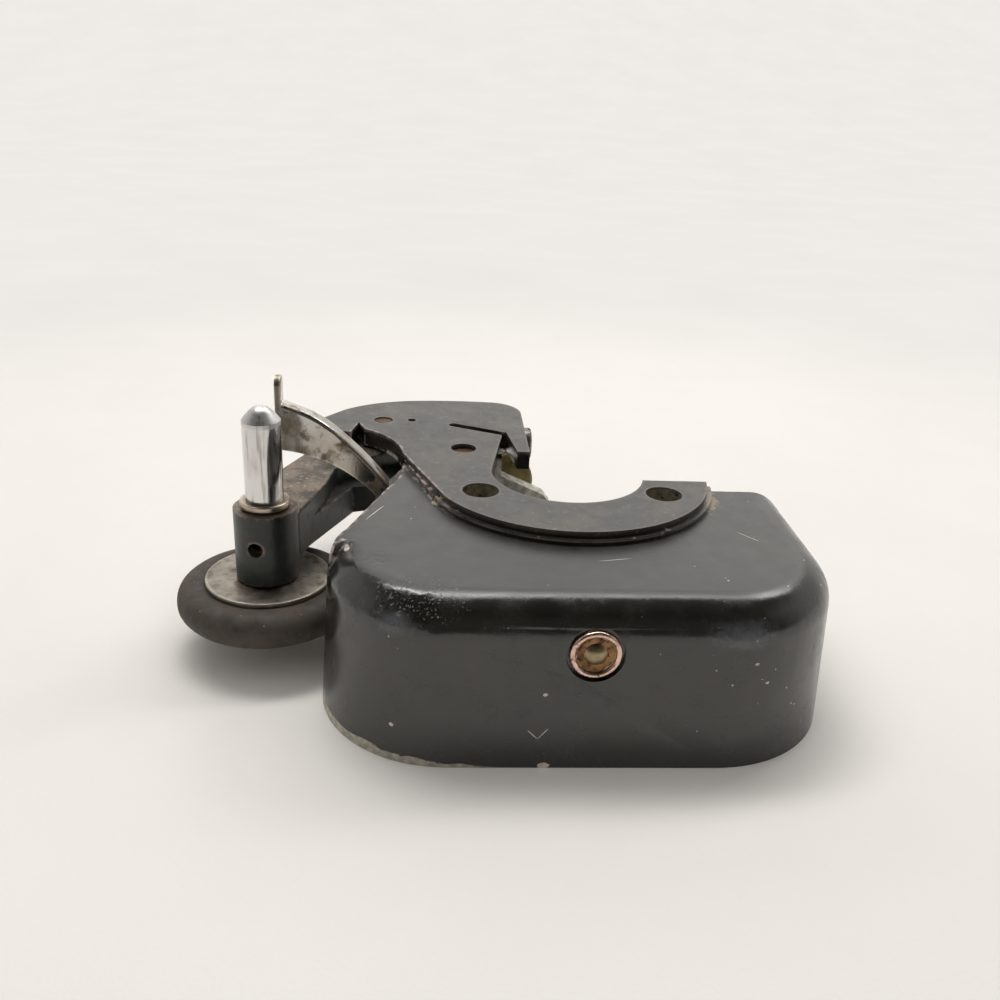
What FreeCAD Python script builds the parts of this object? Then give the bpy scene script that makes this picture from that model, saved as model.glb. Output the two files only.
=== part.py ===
import FreeCAD, Part
import math
import os
import re

import Sketcher
from FreeCAD import Rotation, Vector

# Bobbin winder with a cast belt guard, lying on the open rim of its guard.
# Millimetres, +Z up. The origin lies on the machined mounting pad, midway
# between the two mounting screws; X runs along that pair of screws.

SIZES = {
    # Mounting pad and the holes through it
    "screw_pitch": 31.2,  # distance between the two mounting screws
    "screw_hole_r": 3.1,  # radius of a mounting screw hole
    "ring_y": 9.0,  # centre of the handwheel shaft behind the screw row
    "ring_inner_r": 13.4,  # radius of the cut-out round the shaft bushing
    "ring_outer_r": 24.6,  # outer radius of the mounting pad
    "ring_ledge": 0.9,  # width of the cast ledge under the pad edge
    "ledge_z": -1.1,  # height of that ledge
    "pad_t": 3.4,  # thickness of the pad plate
    "lug_y": 6.0,  # back end of the pad beside the shaft
    "deck_back": 0.5,  # step of the cast face behind the pad's lug
    "column_top_x": -10.4,  # right-hand corner of the pad beside the slot
    "column_top_y": 27.4,  # back corner of the pad beside the slot
    "slot_end_x": -20.2,  # blind end of the slot
    "slot_end_y": 31.9,  # lower edge of the slot at its blind end
    "slot_w": 1.7,  # width of the slot
    "slot_skew": 0.75,  # sideways shift of the slot's upper edge at its blind end
    "finger_bend_x": -9.4,  # inner corner of the hooked finger
    "finger_bend_y": 28.9,  # inner corner of the hooked finger
    "finger_tip_in_x": -8.0,  # inner side of the finger tip
    "finger_tip_y": 18.6,  # front end of the finger
    "lobe_right_x": -5.7,  # right-hand side of the pad's back lobe
    "lobe_corner_y": 41.2,  # start of the back right corner
    "lobe_corner_r": 6.5,  # radius of the back right corner
    "lobe_back_x": -12.0,  # start of the back edge
    "lobe_back_y": 47.6,  # back edge at its right-hand end
    "lobe_mid_x": -27.0,  # end of the flat part of the back edge
    "lobe_mid_y": 47.3,  # back edge at its left-hand end
    "lobe_back_r": 75.0,  # radius of the back edge
    "lobe_left_x": -41.4,  # start of the left end of the lobe
    "lobe_left_y": 40.4,  # start of the left end of the lobe
    "lobe_left_r": 24.0,  # radius of the back left corner
    "lobe_end_x": -45.6,  # left end of the lobe
    "lobe_end_y": 34.6,  # left end of the lobe
    "tongue_left_x": -45.0,  # front end of the pad's left tongue, left
    "tongue_right_x": -39.3,  # front end of the pad's left tongue, right
    "tongue_y": 27.4,  # front end of the pad's left tongue, back
    "window_left_x": -36.9,  # window edge beside the notch, across
    "window_left_y": 29.2,  # window edge beside the notch, back
    "notch_x": -38.2,  # point of the notch between window and tongue, across
    "notch_y": 32.8,  # point of the notch between window and tongue, back
    "window_end_x": -29.1,  # corner where the window meets the deck
    "window_end_y": 16.6,  # corner where the window meets the deck
    "window_r": 16.7,  # radius of the window edge
    "pad_left_x": -21.6,  # pad edge where it meets the outer radius
    "pad_left_y": -2.8,  # pad edge where it meets the outer radius
    "pivot_x": -33.5,  # arm pivot, across
    "pivot_y": 34.5,  # arm pivot, back
    "pivot_rivet_r": 1.85,  # riveted end of the arm pivot in the pad
    "oil_x": -27.9,  # oil hole in the pad, across
    "oil_y": 34.9,  # oil hole in the pad, back
    "oil_r": 0.8,  # radius of the oil hole in the pad
    "latch_x": -18.0,  # latch pivot, across
    "latch_y": 19.8,  # latch pivot, back
    "latch_rivet_r": 2.35,  # riveted end of the latch pivot in the pad
    "latch_boss_r": 4.6,  # boss round the latch pivot
    "latch_boss_z": -4.9,  # underside of that boss

    # Guard shell
    "rim_z": -28.0,  # open rim of the guard
    "deck_z": -2.0,  # cast face of the guard round the pad
    "deck_t": 2.8,  # thickness of the deck
    "wall_t": 2.8,  # thickness of the guard wall
    "guard_left_x": -40.6,  # left side of the guard at the rim
    "guard_right_x": 39.7,  # right side of the guard at the rim
    "guard_front_y": -37.0,  # front of the guard at the rim
    "corner_left_r": 19.7,  # front left corner in plan
    "corner_right_r": 21.0,  # front right corner in plan
    "wall_end_y": -18.9,  # back end of the left wall
    "wall_lip": 0.4,  # length of the left wall beyond the deck corner
    "edge_bend_y": 13.6,  # start of the bend in the deck edge beside the window
    "edge_bend_r": 16.0,  # radius of that bend
    "edge_high_x": -30.9,  # back end of the straight deck edge, across
    "edge_high_y": 6.4,  # back end of the straight deck edge, back
    "edge_low_x": -36.9,  # front end of the straight deck edge, across
    "edge_low_y": -11.4,  # front end of the straight deck edge, back
    "edge_low_r": 20.0,  # bend of the deck edge above the wall's end
    "draft": 3.0,  # draft of the guard walls in degrees
    "deck_round_r": 6.0,  # rounding between deck and walls
    "skirt_t": 2.6,  # thickness of the lobe skirt
    "skirt_z": -10.0,  # lower edge of the lobe skirt
    "skirt_start_y": 31.2,  # front end of the skirt under the finger
    "web_front_y": 21.6,  # front face of the cast web
    "web_t": 2.9,  # thickness of the cast web
    "web_left_x": -13.0,  # left end of the cast web
    "web_column_x": -10.6,  # right side of the web's column
    "web_right_x": -1.0,  # right end of the cast web
    "web_high_z": -6.2,  # high end of the sloping top of the web
    "web_low_z": -9.8,  # low end of the sloping top of the web
    "web_nose_z": -11.6,  # top of the web's short right-hand end
    "web_nose_len": 1.4,  # length of the web's short right-hand end
    "web_z": -16.0,  # underside of the cast web

    # Stud in the front wall
    "stud_x": -0.5,  # stud, across
    "stud_z": -9.4,  # stud, height
    "stud_recess_r": 4.25,  # radius of the spot face round the stud
    "stud_recess_d": 0.6,  # depth of the spot face at the stud's centre
    "ferrule_r": 3.75,  # radius of the ferrule flange
    "ferrule_flange_t": 0.9,  # height of the rolled flange
    "ferrule_tube_r": 2.5,  # radius of the ferrule tube
    "ferrule_dish_r": 2.8,  # radius of the dish in the flange
    "ferrule_dish_slope": 0.2,  # slope of the dish's side
    "ferrule_dish_z": 0.35,  # floor of the dish above the spot face
    "stud_r": 1.65,  # radius of the stud
    "stud_edge_z": 0.5,  # start of the stud's dome above the spot face
    "stud_dome_z": 1.15,  # top of the domed stud above the spot face
    "stud_clinch_r": 2.3,  # radius of the clinched inner end
    "stud_clinch_bevel": 0.4,  # bevel of the clinched inner end
    "stud_clinch_t": 0.9,  # thickness of the clinched inner end
    "stud_washer_r": 2.9,  # radius of the inner washer
    "stud_washer_t": 0.8,  # thickness of the inner washer

    # Winder arm
    "spindle_x": -51.0,  # spindle axis, across
    "spindle_y": -2.5,  # spindle axis, back
    "arm_top_z": -3.8,  # top face of the arm
    "arm_under_z": -12.4,  # underside of the arm web
    "boss_r": 5.2,  # spindle boss radius
    "boss_top_z": -2.6,  # top of the spindle boss
    "boss_under_z": -14.9,  # underside of the spindle boss
    "hub_r": 6.2,  # pivot boss radius
    "hub_under_z": -16.0,  # underside of the pivot boss
    "arm_left_x": -52.6,  # arm's outer edge, halfway
    "arm_left_y": 14.0,  # arm's outer edge, halfway
    "arm_elbow_x": -47.0,  # arm's outer edge near the pivot
    "arm_elbow_y": 27.5,  # arm's outer edge near the pivot
    "arm_inner_x": -41.4,  # arm's inner edge below the latch, across
    "arm_inner_y": 18.0,  # arm's inner edge below the latch, back
    "arm_notch_x": -42.4,  # arm's inner edge beside the boss, across
    "arm_notch_y": 10.5,  # arm's inner edge beside the boss, back
    "lug_top_z": -7.4,  # top of the arm's catch lug
    "catch_near_x": -45.0,  # front end of the catch lug's edge, across
    "catch_near_y": 2.2,  # front end of the catch lug's edge, back
    "catch_bend_x": -38.3,  # bend of the catch lug's edge, across
    "catch_bend_y": 17.4,  # bend of the catch lug's edge, back
    "catch_end_x": -32.4,  # corner of the catch lug, across
    "catch_end_y": 19.4,  # corner of the catch lug, back
    "root_right_turn": -30.0,  # direction of the arm's right-hand root on the pivot boss in degrees
    "root_left_turn": 145.0,  # direction of the arm's left-hand root on the pivot boss in degrees
    "arm_edge_r": 0.6,  # rounding of the arm's edges
    "arm_corner_r": 1.5,  # rounding of the arm's corners in plan
    "boss_oil_r": 1.25,  # oil hole in the spindle boss
    "boss_oil_z": -8.3,  # height of that oil hole
    "boss_oil_angle": -12.0,  # direction of that oil hole from the front in degrees
    "run_gap": 0.04,  # running clearance of a shaft in its hole
    "screw_clear": 0.1,  # clearance of a small screw in its hole

    # Arm pivot
    "pivot_r": 2.6,  # shoulder of the arm pivot
    "pivot_head_r": 4.4,  # head of the arm pivot
    "pivot_head_t": 1.9,  # thickness of that head
    "thrust_t": 0.5,  # thickness of the thrust washer
    "thrust_gap": 0.15,  # end play of the arm on its pivot
    "rivet_sink": 0.25,  # depth of the arm pivot's riveted end below the pad
    "driver_slot_w": 0.9,  # width of a screwdriver slot
    "driver_slot_d": 0.8,  # depth of a screwdriver slot

    # Spindle and its bearings
    "spindle_r": 3.1,  # bobbin seat radius
    "spindle_top_z": 14.7,  # tip of the spindle
    "tip_r": 1.9,  # radius at which the conical tip turns into its round end
    "tip_angle": 50.0,  # slope of the conical tip in degrees
    "collar_top_z": -1.2,  # top of the spindle collar
    "collar_t": 1.1,  # thickness of the collar
    "collar_r": 4.05,  # radius of the collar
    "journal_r": 2.5,  # journal radius
    "bushing_r": 3.6,  # outer radius of a bushing
    "upper_bushing_end_z": -6.6,  # lower end of the upper bushing
    "lower_bushing_top_z": -9.2,  # upper end of the lower bushing
    "seat_r": 2.2,  # wheel seat radius on the spindle
    "screw_end_r": 2.0,  # threaded end of the spindle
    "seat_relief": 0.4,  # how far the wheel seat stops above the lower disc's underside
    "spindle_end_z": -25.8,  # lower end of the spindle

    # Friction wheel
    "wheel_top_z": -15.2,  # top face of the upper disc
    "disc_r": 10.4,  # disc radius
    "disc_t": 0.9,  # disc thickness
    "wheel_hub_r": 7.3,  # seat of the tyre on the hub
    "wheel_hub_t": 5.4,  # length of the hub between the discs
    "tyre_r": 15.1,  # outer radius of the tyre
    "tyre_half_t": 3.0,  # half the thickness of the tyre
    "tyre_centre_r": 12.0,  # radius of the middle of the tyre's round
    "tyre_round_r": 3.1,  # rounding of the tread
    "tyre_crown": 0.15,  # rise of the tyre's side from the disc to its crown
    "disc_gap": 0.1,  # gap between the tyre and a disc edge
    "nut_flats": 7.0,  # wheel nut across flats
    "nut_t": 2.4,  # wheel nut thickness
    "wheel_washer_r": 4.0,  # radius of the washer under the nut
    "wheel_washer_t": 0.6,  # thickness of that washer

    # Stop latch
    "latch_top_z": -5.2,  # top face of the latch base
    "sheet_t": 1.0,  # thickness of the latch sheet
    "eye_r": 5.0,  # latch eye radius
    "latch_shoulder_r": 2.9,  # shoulder of the latch pivot
    "latch_head_r": 4.3,  # head of the latch pivot
    "latch_head_t": 1.8,  # thickness of that head
    "latch_washer_t": 0.4,  # thickness of the latch washer
    "latch_gap": 0.12,  # end play of the latch on its pivot
    "latch_sink": 0.9,  # depth of the latch pivot's riveted end below the pad
    "fin_y": 8.6,  # front face of the upright latch fin
    "fin_left_x": -50.55,  # left end of the fin
    "fin_low_z": 3.1,  # lower corner of the fin at its left end
    "fin_high_z": 11.4,  # upper corner of the fin at its left end
    "fin_right_x": -31.3,  # right end of the fin
    "fin_root_x": -33.6,  # left end of the latch base at the fin
    "fin_root_depth": 3.4,  # depth of the latch base at its left end
    "fin_low_r": 24.4,  # curve of the fin's lower edge
    "fin_knee_x": -39.7,  # knee of the fin's upper edge, across
    "fin_knee_z": 5.9,  # knee of the fin's upper edge, height
    "fin_knee_r": 60.0,  # curve of the upper edge below the knee
    "fin_top_r": 22.0,  # curve of the upper edge above the knee
    "fin_end_z": -3.1,  # upper corner of the fin at its right end
    "flange_depth": 3.0,  # depth of the flange along the fin's upper edge
    "flange_bend_r": 0.8,  # outer radius of the bend between fin and flange
    "base_front_turn": -60.0,  # direction of the base's front edge on the eye in degrees
    "base_back_turn": 123.0,  # direction of the base's back edge on the eye in degrees
    "tail_left_x": -20.6,  # left side of the latch tail
    "tail_right_x": -14.4,  # right side of the latch tail
    "foot_y": 24.8,  # front edge of the release plate's foot
    "rivet_pitch": 3.1,  # distance between the two latch rivets
    "rivet_y": 26.4,  # latch rivets, back
    "tab_top_z": 16.2,  # top of the finger tab
    "tab_depth": 3.6,  # depth of the bent finger tab
    "tab_slope": 1.0,  # rise of the tab's lower edge from front to back
    "plate_y": 28.0,  # front face of the release plate
    "plate_t": 1.2,  # thickness of the release plate
    "plate_gap": 0.05,  # gap between the latch tail and the release plate
    "plate_x": -9.4,  # centre of the release plate's round end
    "plate_z": -9.6,  # height of that centre
    "plate_r": 5.5,  # radius of the release plate's round end
    "plate_turn": -117.0,  # start of the plate's round end in degrees
    "plate_neck": 1.6,  # start of the plate's neck beyond the tail
    "plate_rise": 0.4,  # rise of the plate's neck above the foot
    "plate_step": 1.0,  # length of the plate's lower edge beyond the tail
    "foot_t": 1.0,  # thickness of the release plate's foot
    "rivet_r": 0.9,  # radius of a latch rivet
    "rivet_head_r": 1.6,  # radius of a latch rivet's head
    "rivet_head_t": 0.5,  # height of a latch rivet's head

    # Springs and small screws
    "leaf_t": 0.5,  # thickness of a leaf spring
    "leaf_high_z": -4.6,  # upper edge of a leaf spring
    "leaf_low_z": -9.2,  # lower edge of a leaf spring
    "leaf_x": -20.5,  # bend of the friction leaf, across
    "leaf_end_x": -34.5,  # free end of the friction leaf, across
    "leaf_end_y": 41.05,  # front face of the friction leaf at its free end
    "leaf_start_x": -12.8,  # fixed end of the friction leaf
    "leaf_screw_x": -15.6,  # spring screw, across
    "small_screw_r": 1.2,  # radius of a spring screw
    "small_head_r": 2.1,  # head radius of a spring screw
    "small_head_t": 1.1,  # head thickness of a spring screw
    "screw_blind": 0.2,  # metal left behind the spring screw
    "side_screw_y": 33.6,  # side screw, back
    "side_screw_z": -3.9,  # side screw, height
    "side_screw_r": 1.6,  # side screw shank radius
    "side_head_r": 3.2,  # side screw head radius
    "side_head_t": 1.6,  # side screw head thickness
    "side_head_bevel": 0.4,  # bevel of the side screw's head
    "side_screw_len": 4.0,  # side screw shank length

    # Cutting
    "lap": 1.0,  # overlap of joined blocks and overrun of cuts
    "cut_reach": 30.0,  # reach of a wide cut beyond the casting
}

doc = FreeCAD.newDocument("bobbin_winder")
sizes = doc.addObject("Spreadsheet::Sheet", "Sizes")
for row, (alias, value) in enumerate(SIZES.items(), start=1):
    sizes.set("A%d" % row, alias)
    sizes.set("B%d" % row, str(value))
    sizes.setAlias("B%d" % row, alias)
doc.recompute()
named = re.compile(r"\b(" + "|".join(sorted(SIZES, key=len, reverse=True)) + r")\b")


def bound(text):
    """The expression with each alias pointed at the sheet."""
    return named.sub(r"Sizes.\1", str(text))


def number(text):
    """The present value of an expression."""
    value = sizes.evalExpression(bound(text))
    return float(getattr(value, "Value", value))


def new_body(label):
    """An empty body that holds one sub-part."""
    body = doc.addObject("PartDesign::Body", label)
    body.Label = label
    return body


def place(body, x=None, y=None, z=None):
    """Move a body to a place given by expressions."""
    for axis, text in (("x", x), ("y", y), ("z", z)):
        if text is not None:
            body.setExpression("Placement.Base." + axis, bound(text))


def sketch_on(body, name, role, lift="0"):
    """An empty sketch on one of the body's own origin planes."""
    sketch = body.newObject("Sketcher::SketchObject", name)
    plane = [item for item in body.Origin.OriginFeatures if item.Role == role][0]
    sketch.AttachmentSupport = [(plane, "")]
    sketch.MapMode = "FlatFace"
    sketch.setExpression("AttachmentOffset.Base.z", bound(lift))
    return sketch


def hold(sketch, constraint, text):
    """Add a dimension and bind it to the sheet."""
    index = sketch.addConstraint(constraint)
    sketch.setExpression("Constraints[%d]" % index, bound(text))


def hold_point(sketch, item, end, x, y):
    """Dimension a point of the sketch from its origin."""
    hold(sketch, Sketcher.Constraint("DistanceX", -1, 1, item, end, number(x)), x)
    hold(sketch, Sketcher.Constraint("DistanceY", -1, 1, item, end, number(y)), y)


def circle(sketch, x, y, radius):
    """A dimensioned circle."""
    centre = Vector(number(x), number(y), 0)
    item = sketch.addGeometry(Part.Circle(centre, Vector(0, 0, 1), number(radius)), False)
    hold(sketch, Sketcher.Constraint("Radius", item, number(radius)), radius)
    hold_point(sketch, item, 3, x, y)


def outline(sketch, corners):
    """A closed outline. A corner is (x, y) or (x, y, radius): with a radius the side
    that leaves it is an arc, turning left when positive and right when negative."""
    ends = []
    count = len(corners)
    for place_in_list in range(count):
        here = corners[place_in_list]
        there = corners[(place_in_list + 1) % count]
        start = Vector(number(here[0]), number(here[1]), 0)
        finish = Vector(number(there[0]), number(there[1]), 0)
        if len(here) == 2:
            item = sketch.addGeometry(Part.LineSegment(start, finish), False)
            ends.append((item, 1, 2))
            continue
        text = here[2]
        radius = number(text)
        chord = finish - start
        rise = math.sqrt(max(radius * radius - chord.Length ** 2 / 4, 0))
        side = Vector(-chord.y, chord.x, 0).normalize() * math.copysign(rise, radius)
        centre = (start + finish) * 0.5 + side
        first, last = (start, finish) if radius > 0 else (finish, start)
        ring = Part.Circle(centre, Vector(0, 0, 1), abs(radius))
        from_angle = math.atan2(first.y - centre.y, first.x - centre.x)
        to_angle = math.atan2(last.y - centre.y, last.x - centre.x)
        item = sketch.addGeometry(Part.ArcOfCircle(ring, from_angle, to_angle), False)
        hold(sketch, Sketcher.Constraint("Radius", item, abs(radius)), "abs(" + text + ")")
        ends.append((item, 1, 2) if radius > 0 else (item, 2, 1))
    for place_in_list in range(count):
        item, start_end, unused = ends[place_in_list]
        previous, unused, finish_end = ends[place_in_list - 1]
        sketch.addConstraint(Sketcher.Constraint("Coincident", previous, finish_end, item, start_end))
        hold_point(sketch, item, start_end, *corners[place_in_list][:2])


def settle(feature):
    """Recompute and stop if the feature could not be made."""
    doc.recompute()
    if "Invalid" in feature.State or feature.Shape.isNull() or not feature.Shape.isValid():
        raise RuntimeError("could not make " + feature.Name)


def pad(body, sketch, name, length, taper=None, backwards=False):
    """Raise a sketch into material."""
    feature = body.newObject("PartDesign::Pad", name)
    feature.Profile = sketch
    feature.setExpression("Length", bound(length))
    feature.Reversed = backwards
    if taper:
        feature.setExpression("TaperAngle", bound(taper))
    sketch.Visibility = False
    settle(feature)
    return feature


def pocket(body, sketch, name, length, taper=None, backwards=False, both_ways=False):
    """Cut a sketch out of the body; the cut must take material."""
    before = body.Shape.Volume
    feature = body.newObject("PartDesign::Pocket", name)
    feature.Profile = sketch
    feature.setExpression("Length", bound(length))
    feature.Reversed = backwards
    feature.Midplane = both_ways
    if taper:
        feature.setExpression("TaperAngle", bound(taper))
    sketch.Visibility = False
    settle(feature)
    if not body.Shape.Volume < before - 0.001:
        raise RuntimeError("the cut took nothing: " + name)
    return feature


def round_edges(body, name, radius, chosen, chamfer=False):
    """Round or bevel the edges of the body's tip that the test picks."""
    base = body.Tip
    picked = ["Edge%d" % (i + 1) for i, edge in enumerate(base.Shape.Edges) if chosen(edge)]
    if not picked:
        raise RuntimeError("no edge found for " + name)
    kind = "PartDesign::Chamfer" if chamfer else "PartDesign::Fillet"
    feature = body.newObject(kind, name)
    feature.Base = (base, picked)
    feature.setExpression("Size" if chamfer else "Radius", bound(radius))
    settle(feature)
    return feature


def turned(label, x, y, profile):
    """A turned piece on an upright axis: the profile lists (radius, height)."""
    body = new_body(label)
    sketch = sketch_on(body, label + "_profile", "XZ_Plane")
    outline(sketch, profile)
    feature = body.newObject("PartDesign::Revolution", label + "_turn")
    feature.Profile = sketch
    feature.ReferenceAxis = (sketch, ["V_Axis"])
    feature.Angle = 360
    sketch.Visibility = False
    place(body, x, y)
    doc.recompute()
    return body


def ring_profile(inner, outer, low, high):
    """Profile of a plain ring or washer."""
    return [(inner, low), (outer, low), (outer, high), (inner, high)]


def driver_slot(body, name, face_z, head_r, from_below):
    """A straight screwdriver slot across a head."""
    sketch = sketch_on(body, name + "_plan", "XY_Plane", face_z)
    half = "driver_slot_w / 2"
    reach = head_r + " + lap"
    outline(sketch, [
        ("-(" + reach + ")", "-(" + half + ")"),
        (reach, "-(" + half + ")"),
        (reach, half),
        ("-(" + reach + ")", half),
    ])
    pocket(body, sketch, name, "driver_slot_d", backwards=from_below)


def at_height(edge, z):
    """Whether an edge lies in the level plane at z."""
    return all(abs(point.z - z) < 0.01 for point in edge.discretize(5))


def upright(edge):
    """Whether an edge is a straight vertical line."""
    ends = [vertex.Point for vertex in edge.Vertexes]
    if len(ends) < 2:
        return False
    return math.hypot(ends[0].x - ends[1].x, ends[0].y - ends[1].y) < 0.01


def middle(edge):
    """The point halfway along an edge."""
    return edge.discretize(3)[1]


DRAFT_IN = "(deck_z - rim_z) * tan(draft)"
STUD_SEAT = "guard_front_y + (stud_z - rim_z) * tan(draft) + stud_recess_d"
LEAF_FACE = "(lobe_back_y - skirt_t - leaf_t)"
RIVET_LEFT = "(tail_left_x + tail_right_x) / 2 - rivet_pitch / 2"
RIVET_RIGHT = "(tail_left_x + tail_right_x) / 2 + rivet_pitch / 2"
WHEEL_LOW = "wheel_top_z - 2 * disc_t - wheel_hub_t"
HEXAGON = 6


def guard_housing():
    """The casting: hollow guard, raised C-shaped pad, back lobe with slot and finger."""
    body = new_body("guard_housing")
    back = "(lug_y + deck_back)"
    wall_end_x = ("guard_left_x + corner_left_r"
                  " - sqrt(corner_left_r^2 - (guard_front_y + corner_left_r - wall_end_y)^2)")

    plan = sketch_on(body, "guard_plan", "XY_Plane", "rim_z")
    outline(plan, [
        ("guard_left_x + corner_left_r", "guard_front_y"),
        ("guard_right_x - corner_right_r", "guard_front_y", "corner_right_r"),
        ("guard_right_x", "guard_front_y + corner_right_r"),
        ("guard_right_x", back + " + " + DRAFT_IN + " + lap"),
        ("-ring_inner_r", back + " + " + DRAFT_IN + " + lap"),
        ("-ring_inner_r", "window_end_y + " + DRAFT_IN),
        ("window_end_x - " + DRAFT_IN, "window_end_y + " + DRAFT_IN),
        ("window_end_x - " + DRAFT_IN, "edge_bend_y", "-edge_bend_r"),
        ("edge_high_x - " + DRAFT_IN, "edge_high_y"),
        ("edge_low_x - " + DRAFT_IN, "edge_low_y", "edge_low_r"),
        (wall_end_x, "wall_end_y", "corner_left_r"),
    ])
    pad(body, plan, "guard_block", "deck_z - rim_z", taper="-draft")
    outer_level = number("deck_z")
    inner_level = number("deck_z - deck_t")
    wall_end = number("wall_end_y")
    round_edges(body, "deck_round", "deck_round_r",
                lambda edge: at_height(edge, outer_level) and middle(edge).y < wall_end)

    hollow = sketch_on(body, "hollow_plan", "XY_Plane", "rim_z")
    outline(hollow, [
        ("guard_left_x + corner_left_r", "guard_front_y + wall_t"),
        ("guard_right_x - corner_right_r", "guard_front_y + wall_t", "corner_right_r - wall_t"),
        ("guard_right_x - wall_t", "guard_front_y + corner_right_r"),
        ("guard_right_x - wall_t", back + " + cut_reach"),
        ("guard_left_x - cut_reach", back + " + cut_reach"),
        ("guard_left_x - cut_reach", "wall_end_y + wall_lip"),
        ("guard_left_x + wall_t", "wall_end_y + wall_lip"),
        ("guard_left_x + wall_t", "guard_front_y + corner_left_r", "corner_left_r - wall_t"),
    ])
    pocket(body, hollow, "hollow", "deck_z - deck_t - rim_z", taper="-draft", backwards=True)
    round_edges(body, "hollow_round", "deck_round_r - wall_t",
                lambda edge: at_height(edge, inner_level) and middle(edge).y < wall_end)

    behind = sketch_on(body, "back_plan", "XY_Plane", "rim_z")
    outline(behind, [
        ("-ring_inner_r", back),
        ("guard_right_x + cut_reach", back),
        ("guard_right_x + cut_reach", back + " + cut_reach"),
        ("-ring_inner_r", back + " + cut_reach"),
    ])
    pocket(body, behind, "back_cut", "-rim_z", backwards=True)

    ledge = sketch_on(body, "ledge_plan", "XY_Plane", "ledge_z")
    wide = "(ring_outer_r + ring_ledge)"
    lug_x = "sqrt(" + wide + "^2 - (ring_y - lug_y)^2)"
    outline(ledge, [
        (lug_x, back),
        ("-ring_inner_r", back),
        ("-ring_inner_r", "window_end_y"),
        ("window_end_x", "window_end_y"),
        ("pad_left_x - ring_ledge", "pad_left_y", wide),
        ("0", "ring_y - " + wide, wide),
        (lug_x, "lug_y"),
    ])
    pad(body, ledge, "ledge", "ledge_z - (deck_z - deck_t)", backwards=True)

    face = sketch_on(body, "pad_plan", "XY_Plane")
    inner_x = "sqrt(ring_inner_r^2 - (ring_y - lug_y)^2)"
    outer_x = "sqrt(ring_outer_r^2 - (ring_y - lug_y)^2)"
    outline(face, [
        (inner_x, "lug_y", "-ring_inner_r"),
        ("0", "ring_y - ring_inner_r", "-ring_inner_r"),
        ("-ring_inner_r", "ring_y"),
        ("column_top_x", "column_top_y"),
        ("slot_end_x", "slot_end_y", "-(sqrt(slot_w^2 + slot_skew^2) / 2 + run_gap)"),
        ("slot_end_x + slot_skew", "slot_end_y + slot_w"),
        ("finger_bend_x", "finger_bend_y"),
        ("finger_tip_in_x", "finger_tip_y"),
        ("lobe_right_x", "finger_tip_y"),
        ("lobe_right_x", "lobe_corner_y", "lobe_corner_r"),
        ("lobe_back_x", "lobe_back_y", "lobe_back_r"),
        ("lobe_mid_x", "lobe_mid_y", "lobe_left_r"),
        ("lobe_left_x", "lobe_left_y"),
        ("lobe_end_x", "lobe_end_y"),
        ("tongue_left_x", "tongue_y"),
        ("tongue_right_x", "tongue_y"),
        ("notch_x", "notch_y"),
        ("window_left_x", "window_left_y", "-window_r"),
        ("window_end_x", "window_end_y"),
        ("pad_left_x", "pad_left_y", "ring_outer_r"),
        ("0", "ring_y - ring_outer_r", "ring_outer_r"),
        (outer_x, "lug_y"),
    ])
    pad(body, face, "pad_plate", "pad_t", backwards=True)

    shaft = sketch_on(body, "shaft_plan", "XY_Plane", "rim_z")
    outline(shaft, [
        ("-ring_inner_r", "ring_y", "ring_inner_r"),
        ("0", "ring_y - ring_inner_r", "ring_inner_r"),
        (inner_x, "lug_y"),
        (inner_x, "ring_y"),
    ])
    pocket(body, shaft, "shaft_cut", "lap - rim_z", backwards=True)

    skirt = sketch_on(body, "skirt_plan", "XY_Plane", "skirt_z")
    outline(skirt, [
        ("lobe_right_x", "skirt_start_y"),
        ("lobe_right_x", "lobe_corner_y", "lobe_corner_r"),
        ("lobe_back_x", "lobe_back_y", "lobe_back_r"),
        ("lobe_mid_x", "lobe_mid_y", "lobe_left_r"),
        ("lobe_left_x", "lobe_left_y"),
        ("lobe_left_x + skirt_t / sqrt(2)", "lobe_left_y - skirt_t / sqrt(2)", "-(lobe_left_r - skirt_t)"),
        ("lobe_mid_x", "lobe_mid_y - skirt_t", "-(lobe_back_r - skirt_t)"),
        ("lobe_back_x", "lobe_back_y - skirt_t", "-(lobe_corner_r - skirt_t)"),
        ("lobe_right_x - skirt_t", "lobe_corner_y"),
        ("lobe_right_x - skirt_t", "skirt_start_y"),
    ])
    pad(body, skirt, "skirt", "-skirt_z - pad_t / 2")

    boss = sketch_on(body, "latch_boss_plan", "XY_Plane", "latch_boss_z")
    circle(boss, "latch_x", "latch_y", "latch_boss_r")
    pad(body, boss, "latch_boss", "-latch_boss_z - pad_t / 2")

    web = sketch_on(body, "web_profile", "XZ_Plane", "-web_front_y")
    outline(web, [
        ("web_left_x", "web_z"),
        ("web_right_x", "web_z"),
        ("web_right_x", "web_nose_z"),
        ("web_right_x - web_nose_len", "web_low_z"),
        ("web_column_x", "web_high_z"),
        ("web_column_x", "-pad_t / 2"),
        ("web_left_x", "-pad_t / 2"),
    ])
    pad(body, web, "web", "web_t", backwards=True)

    for name, x, y, radius in (
            ("screw_hole_left", "-screw_pitch / 2", "0", "screw_hole_r"),
            ("screw_hole_right", "screw_pitch / 2", "0", "screw_hole_r"),
            ("pivot_hole", "pivot_x", "pivot_y", "pivot_rivet_r"),
            ("oil_hole", "oil_x", "oil_y", "oil_r"),
            ("latch_hole", "latch_x", "latch_y", "latch_rivet_r")):
        hole = sketch_on(body, name + "_plan", "XY_Plane", "latch_boss_z - lap")
        circle(hole, x, y, radius)
        pocket(body, hole, name, "-latch_boss_z + 2 * lap", backwards=True)

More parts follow.
